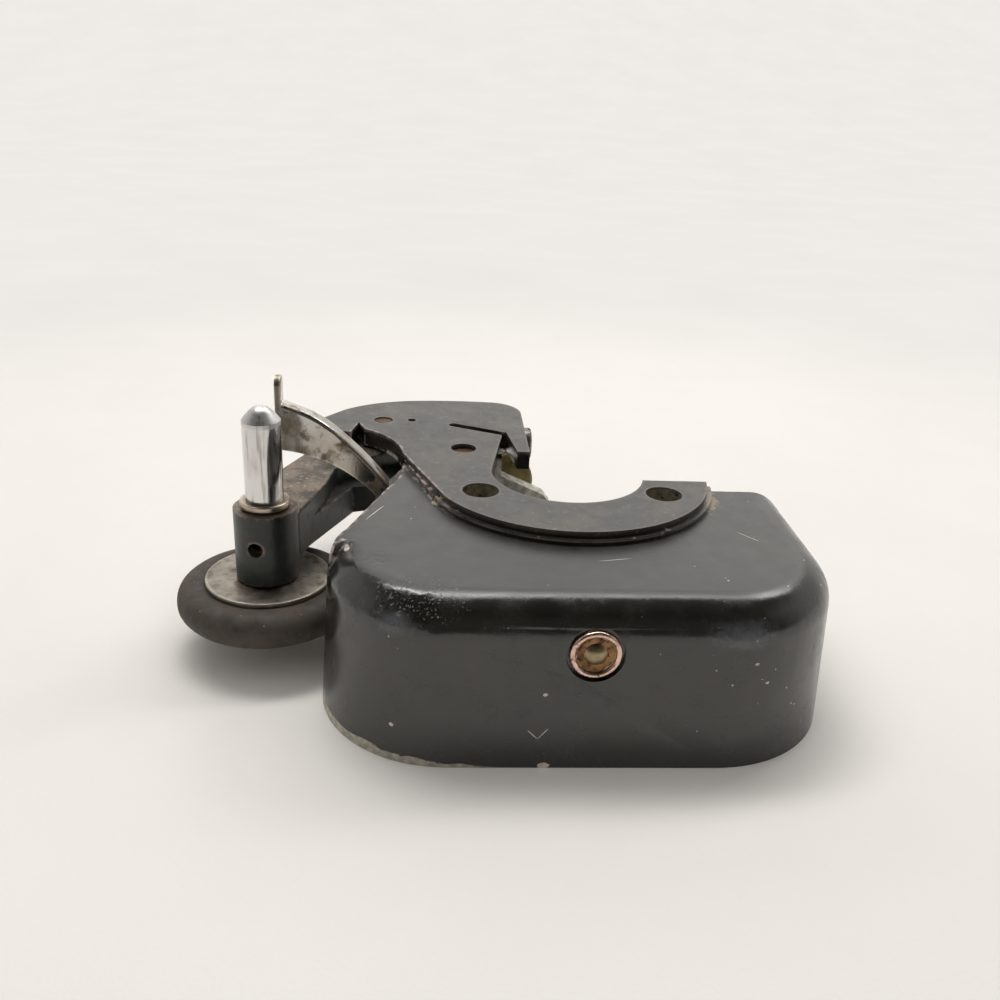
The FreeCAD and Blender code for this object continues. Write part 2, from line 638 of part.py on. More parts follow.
    stud_depth = STUD_SEAT + " - guard_front_y"
    boss = sketch_on(body, "stud_boss_plan", "XZ_Plane", "-(" + STUD_SEAT + " + wall_t)")
    circle(boss, "stud_x", "stud_z", "stud_recess_r")
    pad(body, boss, "stud_boss", "wall_t / 2")
    spot = sketch_on(body, "stud_recess_plan", "XZ_Plane", "-guard_front_y + lap")
    circle(spot, "stud_x", "stud_z", "stud_recess_r")
    pocket(body, spot, "stud_recess", "lap + " + stud_depth)
    bore = sketch_on(body, "stud_bore_plan", "XZ_Plane", "-guard_front_y + lap")
    circle(bore, "stud_x", "stud_z", "ferrule_tube_r")
    pocket(body, bore, "stud_bore", "lap + " + stud_depth + " + wall_t + lap")
    side = sketch_on(body, "side_bore_plan", "YZ_Plane", "lobe_right_x - side_screw_len")
    circle(side, "side_screw_y", "side_screw_z", "side_screw_r")
    pocket(body, side, "side_bore", "side_screw_len + lap", backwards=True)
    tapped = sketch_on(body, "spring_bore_plan", "XZ_Plane", "-" + LEAF_FACE)
    circle(tapped, "leaf_screw_x", "(leaf_high_z + leaf_low_z) / 2", "small_screw_r")
    pocket(body, tapped, "spring_bore", "leaf_t + skirt_t - screw_blind")
    return body


def winder_arm():
    """The swinging arm with its catch lug, spindle boss and pivot boss."""
    body = new_body("winder_arm")
    root_right = ("pivot_x + hub_r * cos(root_right_turn)", "pivot_y + hub_r * sin(root_right_turn)")
    root_left = ("pivot_x + hub_r * cos(root_left_turn)", "pivot_y + hub_r * sin(root_left_turn)")
    web = sketch_on(body, "arm_plan", "XY_Plane", "arm_under_z")
    outline(web, [
        ("spindle_x - boss_r", "spindle_y"),
        ("spindle_x + boss_r", "spindle_y"),
        ("arm_notch_x", "arm_notch_y"),
        ("arm_inner_x", "arm_inner_y"),
        root_right,
        root_left,
        ("arm_elbow_x", "arm_elbow_y"),
        ("arm_left_x", "arm_left_y"),
    ])
    pad(body, web, "arm_web", "arm_top_z - arm_under_z")
    round_edges(body, "arm_corners", "arm_corner_r", upright)
    levels = [number("arm_top_z"), number("arm_under_z")]
    round_edges(body, "arm_round", "arm_edge_r",
                lambda edge: any(at_height(edge, z) for z in levels))
    lug = sketch_on(body, "catch_plan", "XY_Plane", "arm_under_z")
    outline(lug, [
        ("catch_near_x", "catch_near_y"),
        ("catch_bend_x", "catch_bend_y"),
        ("catch_end_x", "catch_end_y"),
        root_right,
        ("pivot_x", "pivot_y"),
        ("(arm_left_x + arm_inner_x) / 2", "arm_inner_y"),
    ])
    pad(body, lug, "catch_lug", "lug_top_z - arm_under_z")
    corner_x, corner_y = number("catch_end_x"), number("catch_end_y")
    round_edges(body, "catch_corner", "arm_corner_r",
                lambda edge: upright(edge) and math.hypot(
                    middle(edge).x - corner_x, middle(edge).y - corner_y) < number("lap") / 2)
    tall = sketch_on(body, "boss_plan", "XY_Plane", "boss_under_z")
    circle(tall, "spindle_x", "spindle_y", "boss_r")
    pad(body, tall, "spindle_boss", "boss_top_z - boss_under_z")
    hub = sketch_on(body, "hub_plan", "XY_Plane", "hub_under_z")
    circle(hub, "pivot_x", "pivot_y", "hub_r")
    pad(body, hub, "pivot_boss", "arm_top_z - hub_under_z")
    spindle_bore = sketch_on(body, "spindle_bore_plan", "XY_Plane", "boss_under_z - lap")
    circle(spindle_bore, "spindle_x", "spindle_y", "bushing_r")
    pocket(body, spindle_bore, "spindle_bore", "boss_top_z - boss_under_z + 2 * lap", backwards=True)
    pivot_bore = sketch_on(body, "pivot_bore_plan", "XY_Plane", "hub_under_z - lap")
    circle(pivot_bore, "pivot_x", "pivot_y", "pivot_r + run_gap")
    pocket(body, pivot_bore, "pivot_bore", "arm_top_z - hub_under_z + 2 * lap", backwards=True)
    oil = new_body("boss_oil_cutter")
    oil_plan = sketch_on(oil, "boss_oil_plan", "XZ_Plane")
    circle(oil_plan, "0", "0", "boss_oil_r")
    pad(oil, oil_plan, "boss_oil_rod", "boss_r + lap")
    place(oil, "spindle_x", "spindle_y", "boss_oil_z")
    oil.setExpression("Placement.Rotation.Angle", bound("boss_oil_angle"))
    oil.Placement.Rotation = Rotation(Vector(0, 0, 1), number("boss_oil_angle"))
    body.Label = "arm_casting"
    drilled = doc.addObject("Part::Cut", "winder_arm_drilled")
    drilled.Base = body
    drilled.Tool = oil
    drilled.Label = "winder_arm"
    doc.recompute()
    return drilled


def spindle():
    """Steel spindle: rounded conical tip, bobbin seat, journal, wheel seat and threaded end."""
    cap_r = "(tip_r / sin(tip_angle))"
    cap_z = "spindle_top_z - " + cap_r + " * (1 - cos(tip_angle))"
    return turned("spindle", "spindle_x", "spindle_y", [
        ("0", "spindle_end_z"),
        ("screw_end_r", "spindle_end_z"),
        ("screw_end_r", WHEEL_LOW + " + seat_relief"),
        ("seat_r", WHEEL_LOW + " + seat_relief"),
        ("seat_r", "wheel_top_z"),
        ("journal_r", "wheel_top_z"),
        ("journal_r", "collar_top_z"),
        ("spindle_r", "collar_top_z"),
        ("spindle_r", cap_z + " - (spindle_r - tip_r) * tan(tip_angle)"),
        ("tip_r", cap_z, cap_r),
        ("0", "spindle_top_z"),
    ])


def arm_pivot():
    """Shoulder screw on which the arm swings, riveted into the pad."""
    seat = "hub_under_z - thrust_gap - thrust_t"
    body = turned("arm_pivot", "pivot_x", "pivot_y", [
        ("0", seat + " - pivot_head_t"),
        ("pivot_head_r", seat + " - pivot_head_t"),
        ("pivot_head_r", seat),
        ("pivot_r", seat),
        ("pivot_r", "-pad_t"),
        ("pivot_rivet_r", "-pad_t"),
        ("pivot_rivet_r", "-rivet_sink"),
        ("0", "-rivet_sink"),
    ])
    driver_slot(body, "arm_pivot_slot", seat + " - pivot_head_t", "pivot_head_r", True)
    return body


def thrust_washer():
    """Washer between the arm's pivot boss and the head of the pivot."""
    low = "hub_under_z - thrust_gap - thrust_t"
    return turned("arm_thrust_washer", "pivot_x", "pivot_y",
                  ring_profile("pivot_r + run_gap", "pivot_head_r", low, low + " + thrust_t"))


def latch_pivot():
    """Shoulder screw on which the stop latch swings, riveted into the pad."""
    seat = "latch_top_z - sheet_t - latch_gap - latch_washer_t"
    body = turned("latch_pivot", "latch_x", "latch_y", [
        ("0", seat + " - latch_head_t"),
        ("latch_head_r", seat + " - latch_head_t"),
        ("latch_head_r", seat),
        ("latch_shoulder_r", seat),
        ("latch_shoulder_r", "latch_boss_z"),
        ("latch_rivet_r", "latch_boss_z"),
        ("latch_rivet_r", "-latch_sink"),
        ("0", "-latch_sink"),
    ])
    driver_slot(body, "latch_pivot_slot", seat + " - latch_head_t", "latch_head_r", True)
    return body


def latch_washer():
    """Friction washer under the latch."""
    low = "latch_top_z - sheet_t - latch_gap - latch_washer_t"
    return turned("latch_washer", "latch_x", "latch_y",
                  ring_profile("latch_shoulder_r + run_gap", "latch_head_r", low, low + " + latch_washer_t"))


def friction_leaf():
    """Leaf spring that bears on the arm's pivot boss and steadies the arm."""
    body = new_body("friction_leaf")
    plan = sketch_on(body, "leaf_plan", "XY_Plane", "leaf_low_z")
    outline(plan, [
        ("leaf_start_x", LEAF_FACE),
        ("leaf_start_x", LEAF_FACE + " + leaf_t"),
        ("leaf_x", LEAF_FACE + " + leaf_t"),
        ("leaf_end_x", "leaf_end_y + leaf_t"),
        ("leaf_end_x", "leaf_end_y"),
        ("leaf_x", LEAF_FACE),
    ])
    pad(body, plan, "leaf", "leaf_high_z - leaf_low_z")
    hole = sketch_on(body, "leaf_hole_plan", "XZ_Plane", "lap - " + LEAF_FACE)
    circle(hole, "leaf_screw_x", "(leaf_high_z + leaf_low_z) / 2", "small_screw_r + screw_clear")
    pocket(body, hole, "leaf_hole", "leaf_t + 2 * lap")
    return body


def facing_front(body, y, x, z):
    """Turn an upright turned piece so that its top faces the front."""
    body.Placement.Rotation = Rotation(Vector(1, 0, 0), 90)
    place(body, x, y, z)
    doc.recompute()
    return body


def spring_screw():
    """Small screw that holds the friction leaf to the skirt."""
    body = turned("spring_screw", "0", "0", [
        ("0", "-leaf_t - skirt_t + screw_blind"),
        ("small_screw_r", "-leaf_t - skirt_t + screw_blind"),
        ("small_screw_r", "0"),
        ("small_head_r", "0"),
        ("small_head_r", "small_head_t"),
        ("0", "small_head_t"),
    ])
    return facing_front(body, LEAF_FACE, "leaf_screw_x", "(leaf_high_z + leaf_low_z) / 2")


def side_screw():
    """Slotted adjusting screw in the right-hand side of the lobe."""
    body = turned("side_screw", "0", "0", [
        ("0", "-side_screw_len"),
        ("side_screw_r", "-side_screw_len"),
        ("side_screw_r", "0"),
        ("side_head_r", "0"),
        ("side_head_r", "side_head_t - side_head_bevel"),
        ("side_head_r - side_head_bevel", "side_head_t"),
        ("0", "side_head_t"),
    ])
    driver_slot(body, "side_screw_slot", "side_head_t", "side_head_r", False)
    body.Placement.Rotation = Rotation(Vector(0, 1, 0), 90)
    place(body, "lobe_right_x", "side_screw_y", "side_screw_z")
    doc.recompute()
    return body


def stud_ferrule():
    """Rolled ferrule with a dished flange in the front wall."""
    body = turned("stud_ferrule", "0", "0", [
        ("stud_r", "-wall_t"),
        ("ferrule_tube_r", "-wall_t"),
        ("ferrule_tube_r", "0"),
        ("ferrule_r", "0"),
        ("ferrule_r", "ferrule_flange_t / 2", "ferrule_flange_t / 2"),
        ("ferrule_r - ferrule_flange_t / 2", "ferrule_flange_t"),
        ("ferrule_dish_r", "ferrule_flange_t"),
        ("ferrule_dish_r - ferrule_dish_slope", "ferrule_dish_z"),
        ("stud_r", "ferrule_dish_z"),
    ])
    return facing_front(body, STUD_SEAT, "stud_x", "stud_z")


def guard_stud():
    """Domed stud through the ferrule, clinched over the washer inside."""
    inner = "-wall_t - stud_washer_t"
    body = turned("guard_stud", "0", "0", [
        ("0", inner + " - stud_clinch_t"),
        ("stud_clinch_r - stud_clinch_bevel", inner + " - stud_clinch_t"),
        ("stud_clinch_r", inner),
        ("stud_r", inner),
        ("stud_r", "stud_edge_z", "(stud_r^2 + (stud_dome_z - stud_edge_z)^2) / (2 * (stud_dome_z - stud_edge_z))"),
        ("0", "stud_dome_z"),
    ])
    return facing_front(body, STUD_SEAT, "stud_x", "stud_z")


def stud_washer():
    """Washer under the stud's clinched end."""
    low = "-wall_t - stud_washer_t"
    body = turned("stud_washer", "0", "0", ring_profile("stud_r", "stud_washer_r", low, "-wall_t"))
    return facing_front(body, STUD_SEAT, "stud_x", "stud_z")


def spindle_ring(label, inner, outer, low, high):
    """A plain ring on the spindle axis."""
    return turned(label, "spindle_x", "spindle_y", ring_profile(inner, outer, low, high))


def tyre():
    """Rubber tyre, held between the discs and rounded outside them."""
    centre_z = "(wheel_top_z - disc_t - wheel_hub_t / 2)"
    lip = "disc_r + disc_gap"
    return turned("tyre", "spindle_x", "spindle_y", [
        ("wheel_hub_r", centre_z + " - wheel_hub_t / 2"),
        (lip, centre_z + " - wheel_hub_t / 2"),
        (lip, centre_z + " - tyre_half_t + tyre_crown"),
        ("tyre_centre_r", centre_z + " - tyre_half_t", "tyre_round_r"),
        ("tyre_r", centre_z, "tyre_round_r"),
        ("tyre_centre_r", centre_z + " + tyre_half_t"),
        (lip, centre_z + " + tyre_half_t - tyre_crown"),
        (lip, centre_z + " + wheel_hub_t / 2"),
        ("wheel_hub_r", centre_z + " + wheel_hub_t / 2"),
    ])


def wheel_nut():
    """Hexagon nut under the wheel."""
    body = new_body("wheel_nut")
    high = WHEEL_LOW + " - wheel_washer_t"
    plan = sketch_on(body, "nut_plan", "XY_Plane", high + " - nut_t")
    corners = []
    for step in range(HEXAGON):
        turn = "%d" % (360 // HEXAGON * step)
        corners.append(("nut_flats / sqrt(3) * cos(" + turn + ")", "nut_flats / sqrt(3) * sin(" + turn + ")"))
    outline(plan, corners)
    pad(body, plan, "nut", "nut_t")
    hole = sketch_on(body, "nut_hole_plan", "XY_Plane", high + " - nut_t - lap")
    circle(hole, "0", "0", "screw_end_r")
    pocket(body, hole, "nut_hole", "nut_t + 2 * lap", backwards=True)
    place(body, "spindle_x", "spindle_y")
    doc.recompute()
    return body


def stop_latch():
    """Bent sheet lever: eye and base below the pad, upright flanged fin and finger tab outside."""
    body = new_body("stop_latch")
    low = "latch_top_z - sheet_t"
    eye = sketch_on(body, "eye_plan", "XY_Plane", low)
    circle(eye, "latch_x", "latch_y", "eye_r")
    pad(body, eye, "eye", "sheet_t")
    base = sketch_on(body, "base_plan", "XY_Plane", low)
    outline(base, [
        ("latch_x + eye_r * cos(base_front_turn)", "latch_y + eye_r * sin(base_front_turn)"),
        ("latch_x", "latch_y"),
        ("latch_x + eye_r * cos(base_back_turn)", "latch_y + eye_r * sin(base_back_turn)"),
        ("fin_root_x", "fin_y + fin_root_depth"),
        ("fin_root_x", "fin_y"),
        ("fin_right_x", "fin_y"),
    ])
    pad(body, base, "base", "sheet_t")
    tail = sketch_on(body, "tail_plan", "XY_Plane", low)
    outline(tail, [
        ("tail_left_x", "latch_y"),
        ("tail_right_x", "latch_y"),
        ("tail_right_x", "plate_y - plate_gap"),
        ("tail_left_x", "plate_y - plate_gap"),
    ])
    pad(body, tail, "tail", "sheet_t")
    fin = sketch_on(body, "fin_profile", "XZ_Plane", "-fin_y")
    outline(fin, [
        ("fin_left_x", "fin_low_z", "-fin_low_r"),
        ("fin_root_x", "latch_top_z"),
        ("fin_root_x", low),
        ("fin_right_x", low),
        ("fin_right_x", "fin_end_z", "fin_knee_r"),
        ("fin_knee_x", "fin_knee_z", "fin_top_r"),
        ("fin_left_x", "fin_high_z"),
    ])
    pad(body, fin, "fin", "sheet_t", backwards=True)
    flange = sketch_on(body, "flange_profile", "XZ_Plane", "-fin_y")
    inset = " - sheet_t / sqrt(2)"
    outline(flange, [
        ("fin_right_x", "fin_end_z", "fin_knee_r"),
        ("fin_knee_x", "fin_knee_z", "fin_top_r"),
        ("fin_left_x", "fin_high_z"),
        ("fin_left_x", "fin_high_z - sheet_t", "-fin_top_r"),
        ("fin_knee_x" + inset, "fin_knee_z" + inset, "-fin_knee_r"),
        ("fin_right_x" + inset, "fin_end_z" + inset),
    ])
    pad(body, flange, "flange", "flange_depth", backwards=True)
    front = number("fin_y")
    ridge = number("fin_end_z")
    round_edges(body, "flange_bend", "flange_bend_r",
                lambda edge: len(edge.Vertexes) == 2 and edge.Curve.TypeId == "Part::GeomCircle"
                and all(abs(point.y - front) < 0.01 for point in edge.discretize(5))
                and edge.Curve.Radius != number("fin_low_r") and middle(edge).z > ridge)
    tab = sketch_on(body, "tab_profile", "YZ_Plane", "fin_left_x")
    outline(tab, [
        ("fin_y", "fin_low_z"),
        ("fin_y + tab_depth", "fin_low_z + tab_slope"),
        ("fin_y + tab_depth", "tab_top_z - tab_depth / 2", "tab_depth / 2 + run_gap"),
        ("fin_y", "tab_top_z - tab_depth / 2"),
    ])
    pad(body, tab, "tab", "sheet_t")
    hole = sketch_on(body, "eye_hole_plan", "XY_Plane", low + " - lap")
    circle(hole, "latch_x", "latch_y", "latch_shoulder_r + run_gap")
    pocket(body, hole, "eye_hole", "sheet_t + 2 * lap", backwards=True)
    rivets = sketch_on(body, "rivet_hole_plan", "XY_Plane", low + " - lap")
    circle(rivets, RIVET_LEFT, "rivet_y", "rivet_r")
    circle(rivets, RIVET_RIGHT, "rivet_y", "rivet_r")
    pocket(body, rivets, "rivet_holes", "sheet_t + 2 * lap", backwards=True)
    return body


def release_plate():
    """Round-ended upright plate behind the pad, riveted under the latch tail."""
    body = new_body("release_plate")
    high = "latch_top_z - sheet_t"
    plate = sketch_on(body, "plate_profile", "XZ_Plane", "-plate_y")
    outline(plate, [
        ("tail_left_x", high + " - foot_t"),
        ("tail_right_x + plate_step", high + " - foot_t"),
        ("plate_x + plate_r * cos(plate_turn)", "plate_z + plate_r * sin(plate_turn)", "plate_r"),
        ("plate_x + plate_r", "plate_z", "plate_r"),
        ("plate_x", "plate_z + plate_r"),
        ("tail_right_x + plate_neck", high + " + plate_rise"),
        ("tail_left_x", high),
    ])
    pad(body, plate, "plate", "plate_t", backwards=True)
    foot = sketch_on(body, "foot_plan", "XY_Plane", high + " - foot_t")
    outline(foot, [
        ("tail_left_x", "foot_y"),
        ("tail_right_x", "foot_y"),
        ("tail_right_x", "plate_y + plate_t / 2"),
        ("tail_left_x", "plate_y + plate_t / 2"),
    ])
    pad(body, foot, "foot", "foot_t")
    rivets = sketch_on(body, "foot_hole_plan", "XY_Plane", high + " - foot_t - lap")
    circle(rivets, RIVET_LEFT, "rivet_y", "rivet_r")
    circle(rivets, RIVET_RIGHT, "rivet_y", "rivet_r")
    pocket(body, rivets, "foot_holes", "foot_t + lap", backwards=True)
    return body


def latch_rivets():
    """Two rivets that join the release plate to the latch."""
    low = "latch_top_z - sheet_t - foot_t"
    profile = [
        ("0", low + " - rivet_head_t"),
        ("rivet_head_r", low + " - rivet_head_t"),
        ("rivet_head_r", low),
        ("rivet_r", low),
        ("rivet_r", "latch_top_z"),
        ("0", "latch_top_z"),
    ]
    pair = [
        turned("left_rivet", RIVET_LEFT, "rivet_y", profile),
        turned("right_rivet", RIVET_RIGHT, "rivet_y", profile),
    ]
    group = doc.addObject("Part::Compound", "latch_rivets")
    group.Links = pair
    group.Label = "latch_rivets"
    doc.recompute()
    return group


pieces = [
    guard_housing(),
    stud_ferrule(),
    guard_stud(),
    stud_washer(),
    winder_arm(),
    arm_pivot(),
    thrust_washer(),
    friction_leaf(),
    spring_screw(),
    side_screw(),
    spindle_ring("upper_bushing", "journal_r + run_gap", "bushing_r", "upper_bushing_end_z", "boss_top_z"),
    spindle_ring("lower_bushing", "journal_r + run_gap", "bushing_r", "boss_under_z", "lower_bushing_top_z"),
    spindle(),
    spindle_ring("spindle_collar", "journal_r", "collar_r", "collar_top_z - collar_t", "collar_top_z"),
    spindle_ring("upper_disc", "seat_r", "disc_r", "wheel_top_z - disc_t", "wheel_top_z"),
    spindle_ring("wheel_hub", "seat_r", "wheel_hub_r", "wheel_top_z - disc_t - wheel_hub_t", "wheel_top_z - disc_t"),
    spindle_ring("lower_disc", "seat_r", "disc_r", WHEEL_LOW, WHEEL_LOW + " + disc_t"),
    tyre(),
    spindle_ring("wheel_washer", "screw_end_r", "wheel_washer_r", WHEEL_LOW + " - wheel_washer_t", WHEEL_LOW),
    wheel_nut(),
    latch_pivot(),
    latch_washer(),
    stop_latch(),
    release_plate(),
    latch_rivets(),
]
doc.recompute()
for item in doc.Objects:
    if "Invalid" in item.State or "Error" in item.State:
        raise RuntimeError("not made: " + item.Label)
os.makedirs("parts", exist_ok=True)
for piece in pieces:
    shape = piece.Shape
    if shape.isNull() or not shape.isValid() or not shape.Solids:
        raise RuntimeError("bad shape: " + piece.Label)
    shape.exportStep("parts/%s.step" % piece.Label)
    print(piece.Label, round(shape.Volume, 1), len(shape.Solids))
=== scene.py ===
"""Bobbin winder with its belt guard: the finish of every surface, and the turned pieces."""

import math

import bmesh
import bpy
import numpy as np
from bpy.props import FloatProperty, FloatVectorProperty, IntProperty, PointerProperty
from mathutils import Matrix, Vector


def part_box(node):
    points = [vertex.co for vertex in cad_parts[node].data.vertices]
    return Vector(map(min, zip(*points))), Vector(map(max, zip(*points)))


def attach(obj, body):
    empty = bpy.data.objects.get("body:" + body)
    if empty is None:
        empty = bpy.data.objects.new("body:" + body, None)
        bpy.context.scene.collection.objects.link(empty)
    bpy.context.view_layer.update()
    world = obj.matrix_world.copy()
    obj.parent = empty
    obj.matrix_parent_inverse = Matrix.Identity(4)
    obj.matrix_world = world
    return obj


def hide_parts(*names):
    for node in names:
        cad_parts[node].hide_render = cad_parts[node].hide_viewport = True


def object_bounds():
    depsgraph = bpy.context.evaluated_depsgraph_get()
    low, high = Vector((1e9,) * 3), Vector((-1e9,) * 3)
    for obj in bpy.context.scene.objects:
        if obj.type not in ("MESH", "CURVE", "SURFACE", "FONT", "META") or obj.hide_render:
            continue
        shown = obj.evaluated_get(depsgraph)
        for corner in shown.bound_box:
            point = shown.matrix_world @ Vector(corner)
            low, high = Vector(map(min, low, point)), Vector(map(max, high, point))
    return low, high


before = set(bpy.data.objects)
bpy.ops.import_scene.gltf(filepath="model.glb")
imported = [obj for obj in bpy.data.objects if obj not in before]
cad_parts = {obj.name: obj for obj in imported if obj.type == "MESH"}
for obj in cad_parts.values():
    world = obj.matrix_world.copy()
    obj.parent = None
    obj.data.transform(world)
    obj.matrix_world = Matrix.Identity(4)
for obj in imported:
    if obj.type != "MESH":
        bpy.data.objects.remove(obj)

bl_info = {
    "name": "Bobbin Winder",
    "version": (1, 0, 0),
    "blender": (4, 5, 0),
    "location": "3D View > Sidebar > Winder",
    "description": "Finishes and turned pieces of a bobbin winder with a cast belt guard",
    "category": "Object",
}

MM = 0.001
CAD_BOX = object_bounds()


def middle_of(node):
    """Centre of a node's box."""
    low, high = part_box(node)
    return (low + high) / 2


def tone(red, green, blue):
    """A colour given as it looks on a screen, 0 to 255, turned into linear light."""
    seen = np.array([red, green, blue]) / 255
    linear = np.where(seen <= 0.04045, seen / 12.92, ((seen + 0.055) / 1.055) ** 2.4)
    return tuple(float(part) for part in linear)


# User settings


def colour_setting(name, description, default):
    """A colour that the panel shows."""
    return FloatVectorProperty(name=name, description=description, default=default,
                               subtype="COLOR", size=3, min=0, max=1)


def length_setting(name, description, default):
    """A length that the panel shows."""
    return FloatProperty(name=name, description=description, default=default,
                         unit="LENGTH", subtype="DISTANCE", min=0, precision=5)


class WinderForm(bpy.types.PropertyGroup):
    """Sizes of the rounded edges and of the turned pieces"""
    casting_round: length_setting("Casting edges", "Rounding of the edges of the castings", 0.35 * MM)
    sheet_round: length_setting("Sheet edges", "Rounding of the edges of sheet pieces", 0.14 * MM)
    screw_round: length_setting("Screw edges", "Rounding of the edges of screws and pins", 0.16 * MM)
    turned_round: length_setting("Turned edges", "Rounding of the edges of turned pieces", 0.12 * MM)
    thread_pitch: length_setting("Thread pitch", "Pitch of the spindle's threaded end", 0.7 * MM)
    thread_depth: length_setting("Thread depth", "Depth of that thread", 0.35 * MM)
    segments: IntProperty(name="Segments", description="Steps round a turned piece", default=128, min=24)


class WinderEnamel(bpy.types.PropertyGroup):
    """Colours of the castings"""
    enamel: colour_setting("Enamel", "Black gloss enamel of the guard", tone(25, 24, 21))
    satin: colour_setting("Pad", "Satin enamel of the machined pad", tone(46, 45, 42))
    primer: colour_setting("Chips", "Pale undercoat that shows where enamel has chipped", tone(203, 184, 176))
    casting: colour_setting("Bare casting", "Bare light alloy", tone(188, 184, 172))
    arm_enamel: colour_setting("Arm enamel", "Greenish black enamel of the arm", tone(38, 41, 37))
    arm_bare: colour_setting("Arm bare", "Worn brown metal of the arm's top face", tone(128, 116, 102))


class WinderMetal(bpy.types.PropertyGroup):
    """Colours of the metal pieces and the tyre"""
    chrome: colour_setting("Bright plate", "Bright plated metal", (0.50, 0.485, 0.46))
    stain: colour_setting("Stain", "Brown stains on bright metal", tone(116, 98, 70))
    steel: colour_setting("Dull steel", "Bare steel of the wheel discs", tone(146, 140, 130))
    brass: colour_setting("Brass", "Tarnished brass", tone(146, 112, 78))
    bronze: colour_setting("Bronze", "Bearing bronze", tone(168, 128, 80))
    olive: colour_setting("Release plate", "Olive brown tarnish", tone(150, 138, 96))
    rust: colour_setting("Pin ends", "Reddish brown pin ends", tone(106, 84, 68))
    rubber: colour_setting("Tyre", "Old brown-black rubber", tone(64, 58, 52))
    wear: FloatProperty(name="Wear", description="Amount of wear and staining", default=1.0,
                        min=0, max=2, subtype="FACTOR")


class WinderStage(bpy.types.PropertyGroup):
    """Floor, lamps and camera"""
    cloth: colour_setting("Floor", "Pale floor", tone(238, 235, 231))
    lamp_power: FloatProperty(name="Lamp power", description="Scale of all the lamps", default=1.0, min=0)
    focal: FloatProperty(name="Focal length", description="Camera lens in millimetres", default=36.0, min=1)


# Materials


class Nodes:
    """A node tree while it is being made."""

    def __init__(self, tree):
        self.tree = tree

    def add(self, kind, **settings):
        """A new node with the given settings."""
        node = self.tree.nodes.new(kind)
        for key, value in settings.items():
            setattr(node, key, value)
        return node

    def feed(self, socket, value):
        """Link an output to a socket, or write a plain value into it."""
        if isinstance(value, bpy.types.NodeSocket):
            self.tree.links.new(value, socket)
        elif socket.type == "RGBA":
            socket.default_value = (*value, 1) if len(value) == 3 else value
        else:
            socket.default_value = value

    def calc(self, operation, first, second):
        """The result of one sum of two numbers."""
        node = self.add("ShaderNodeMath", operation=operation)
        self.feed(node.inputs[0], first)
        self.feed(node.inputs[1], second)
        return node.outputs[0]

    def ramp(self, value, low, high):
        """0 below low, 1 above high and a smooth step between; low may be the larger."""
        node = self.add("ShaderNodeMapRange", interpolation_type="SMOOTHSTEP")
        turned = low > high
        for socket, number in zip(("From Min", "From Max", "To Min", "To Max"),
                                  (min(low, high), max(low, high), float(turned), float(not turned))):
            node.inputs[socket].default_value = number
        self.feed(node.inputs["Value"], value)
        return node.outputs["Result"]

    def both(self, *masks):
        """The product of masks or shares: where all of them are."""
        result = masks[0]
        for mask in masks[1:]:
            result = self.calc("MULTIPLY", result, mask)
        return result

    def either(self, *masks):
        """The largest of masks: where any of them is."""
        result = masks[0]
        for mask in masks[1:]:
            result = self.calc("MAXIMUM", result, mask)
        return result

    def mix(self, share, first, second):
        """A number that goes from first to second."""
        node = self.add("ShaderNodeMix", data_type="FLOAT")
        for socket, value in zip(("Factor", "A", "B"), (share, first, second)):
            self.feed(node.inputs[socket], value)
        return node.outputs[0]


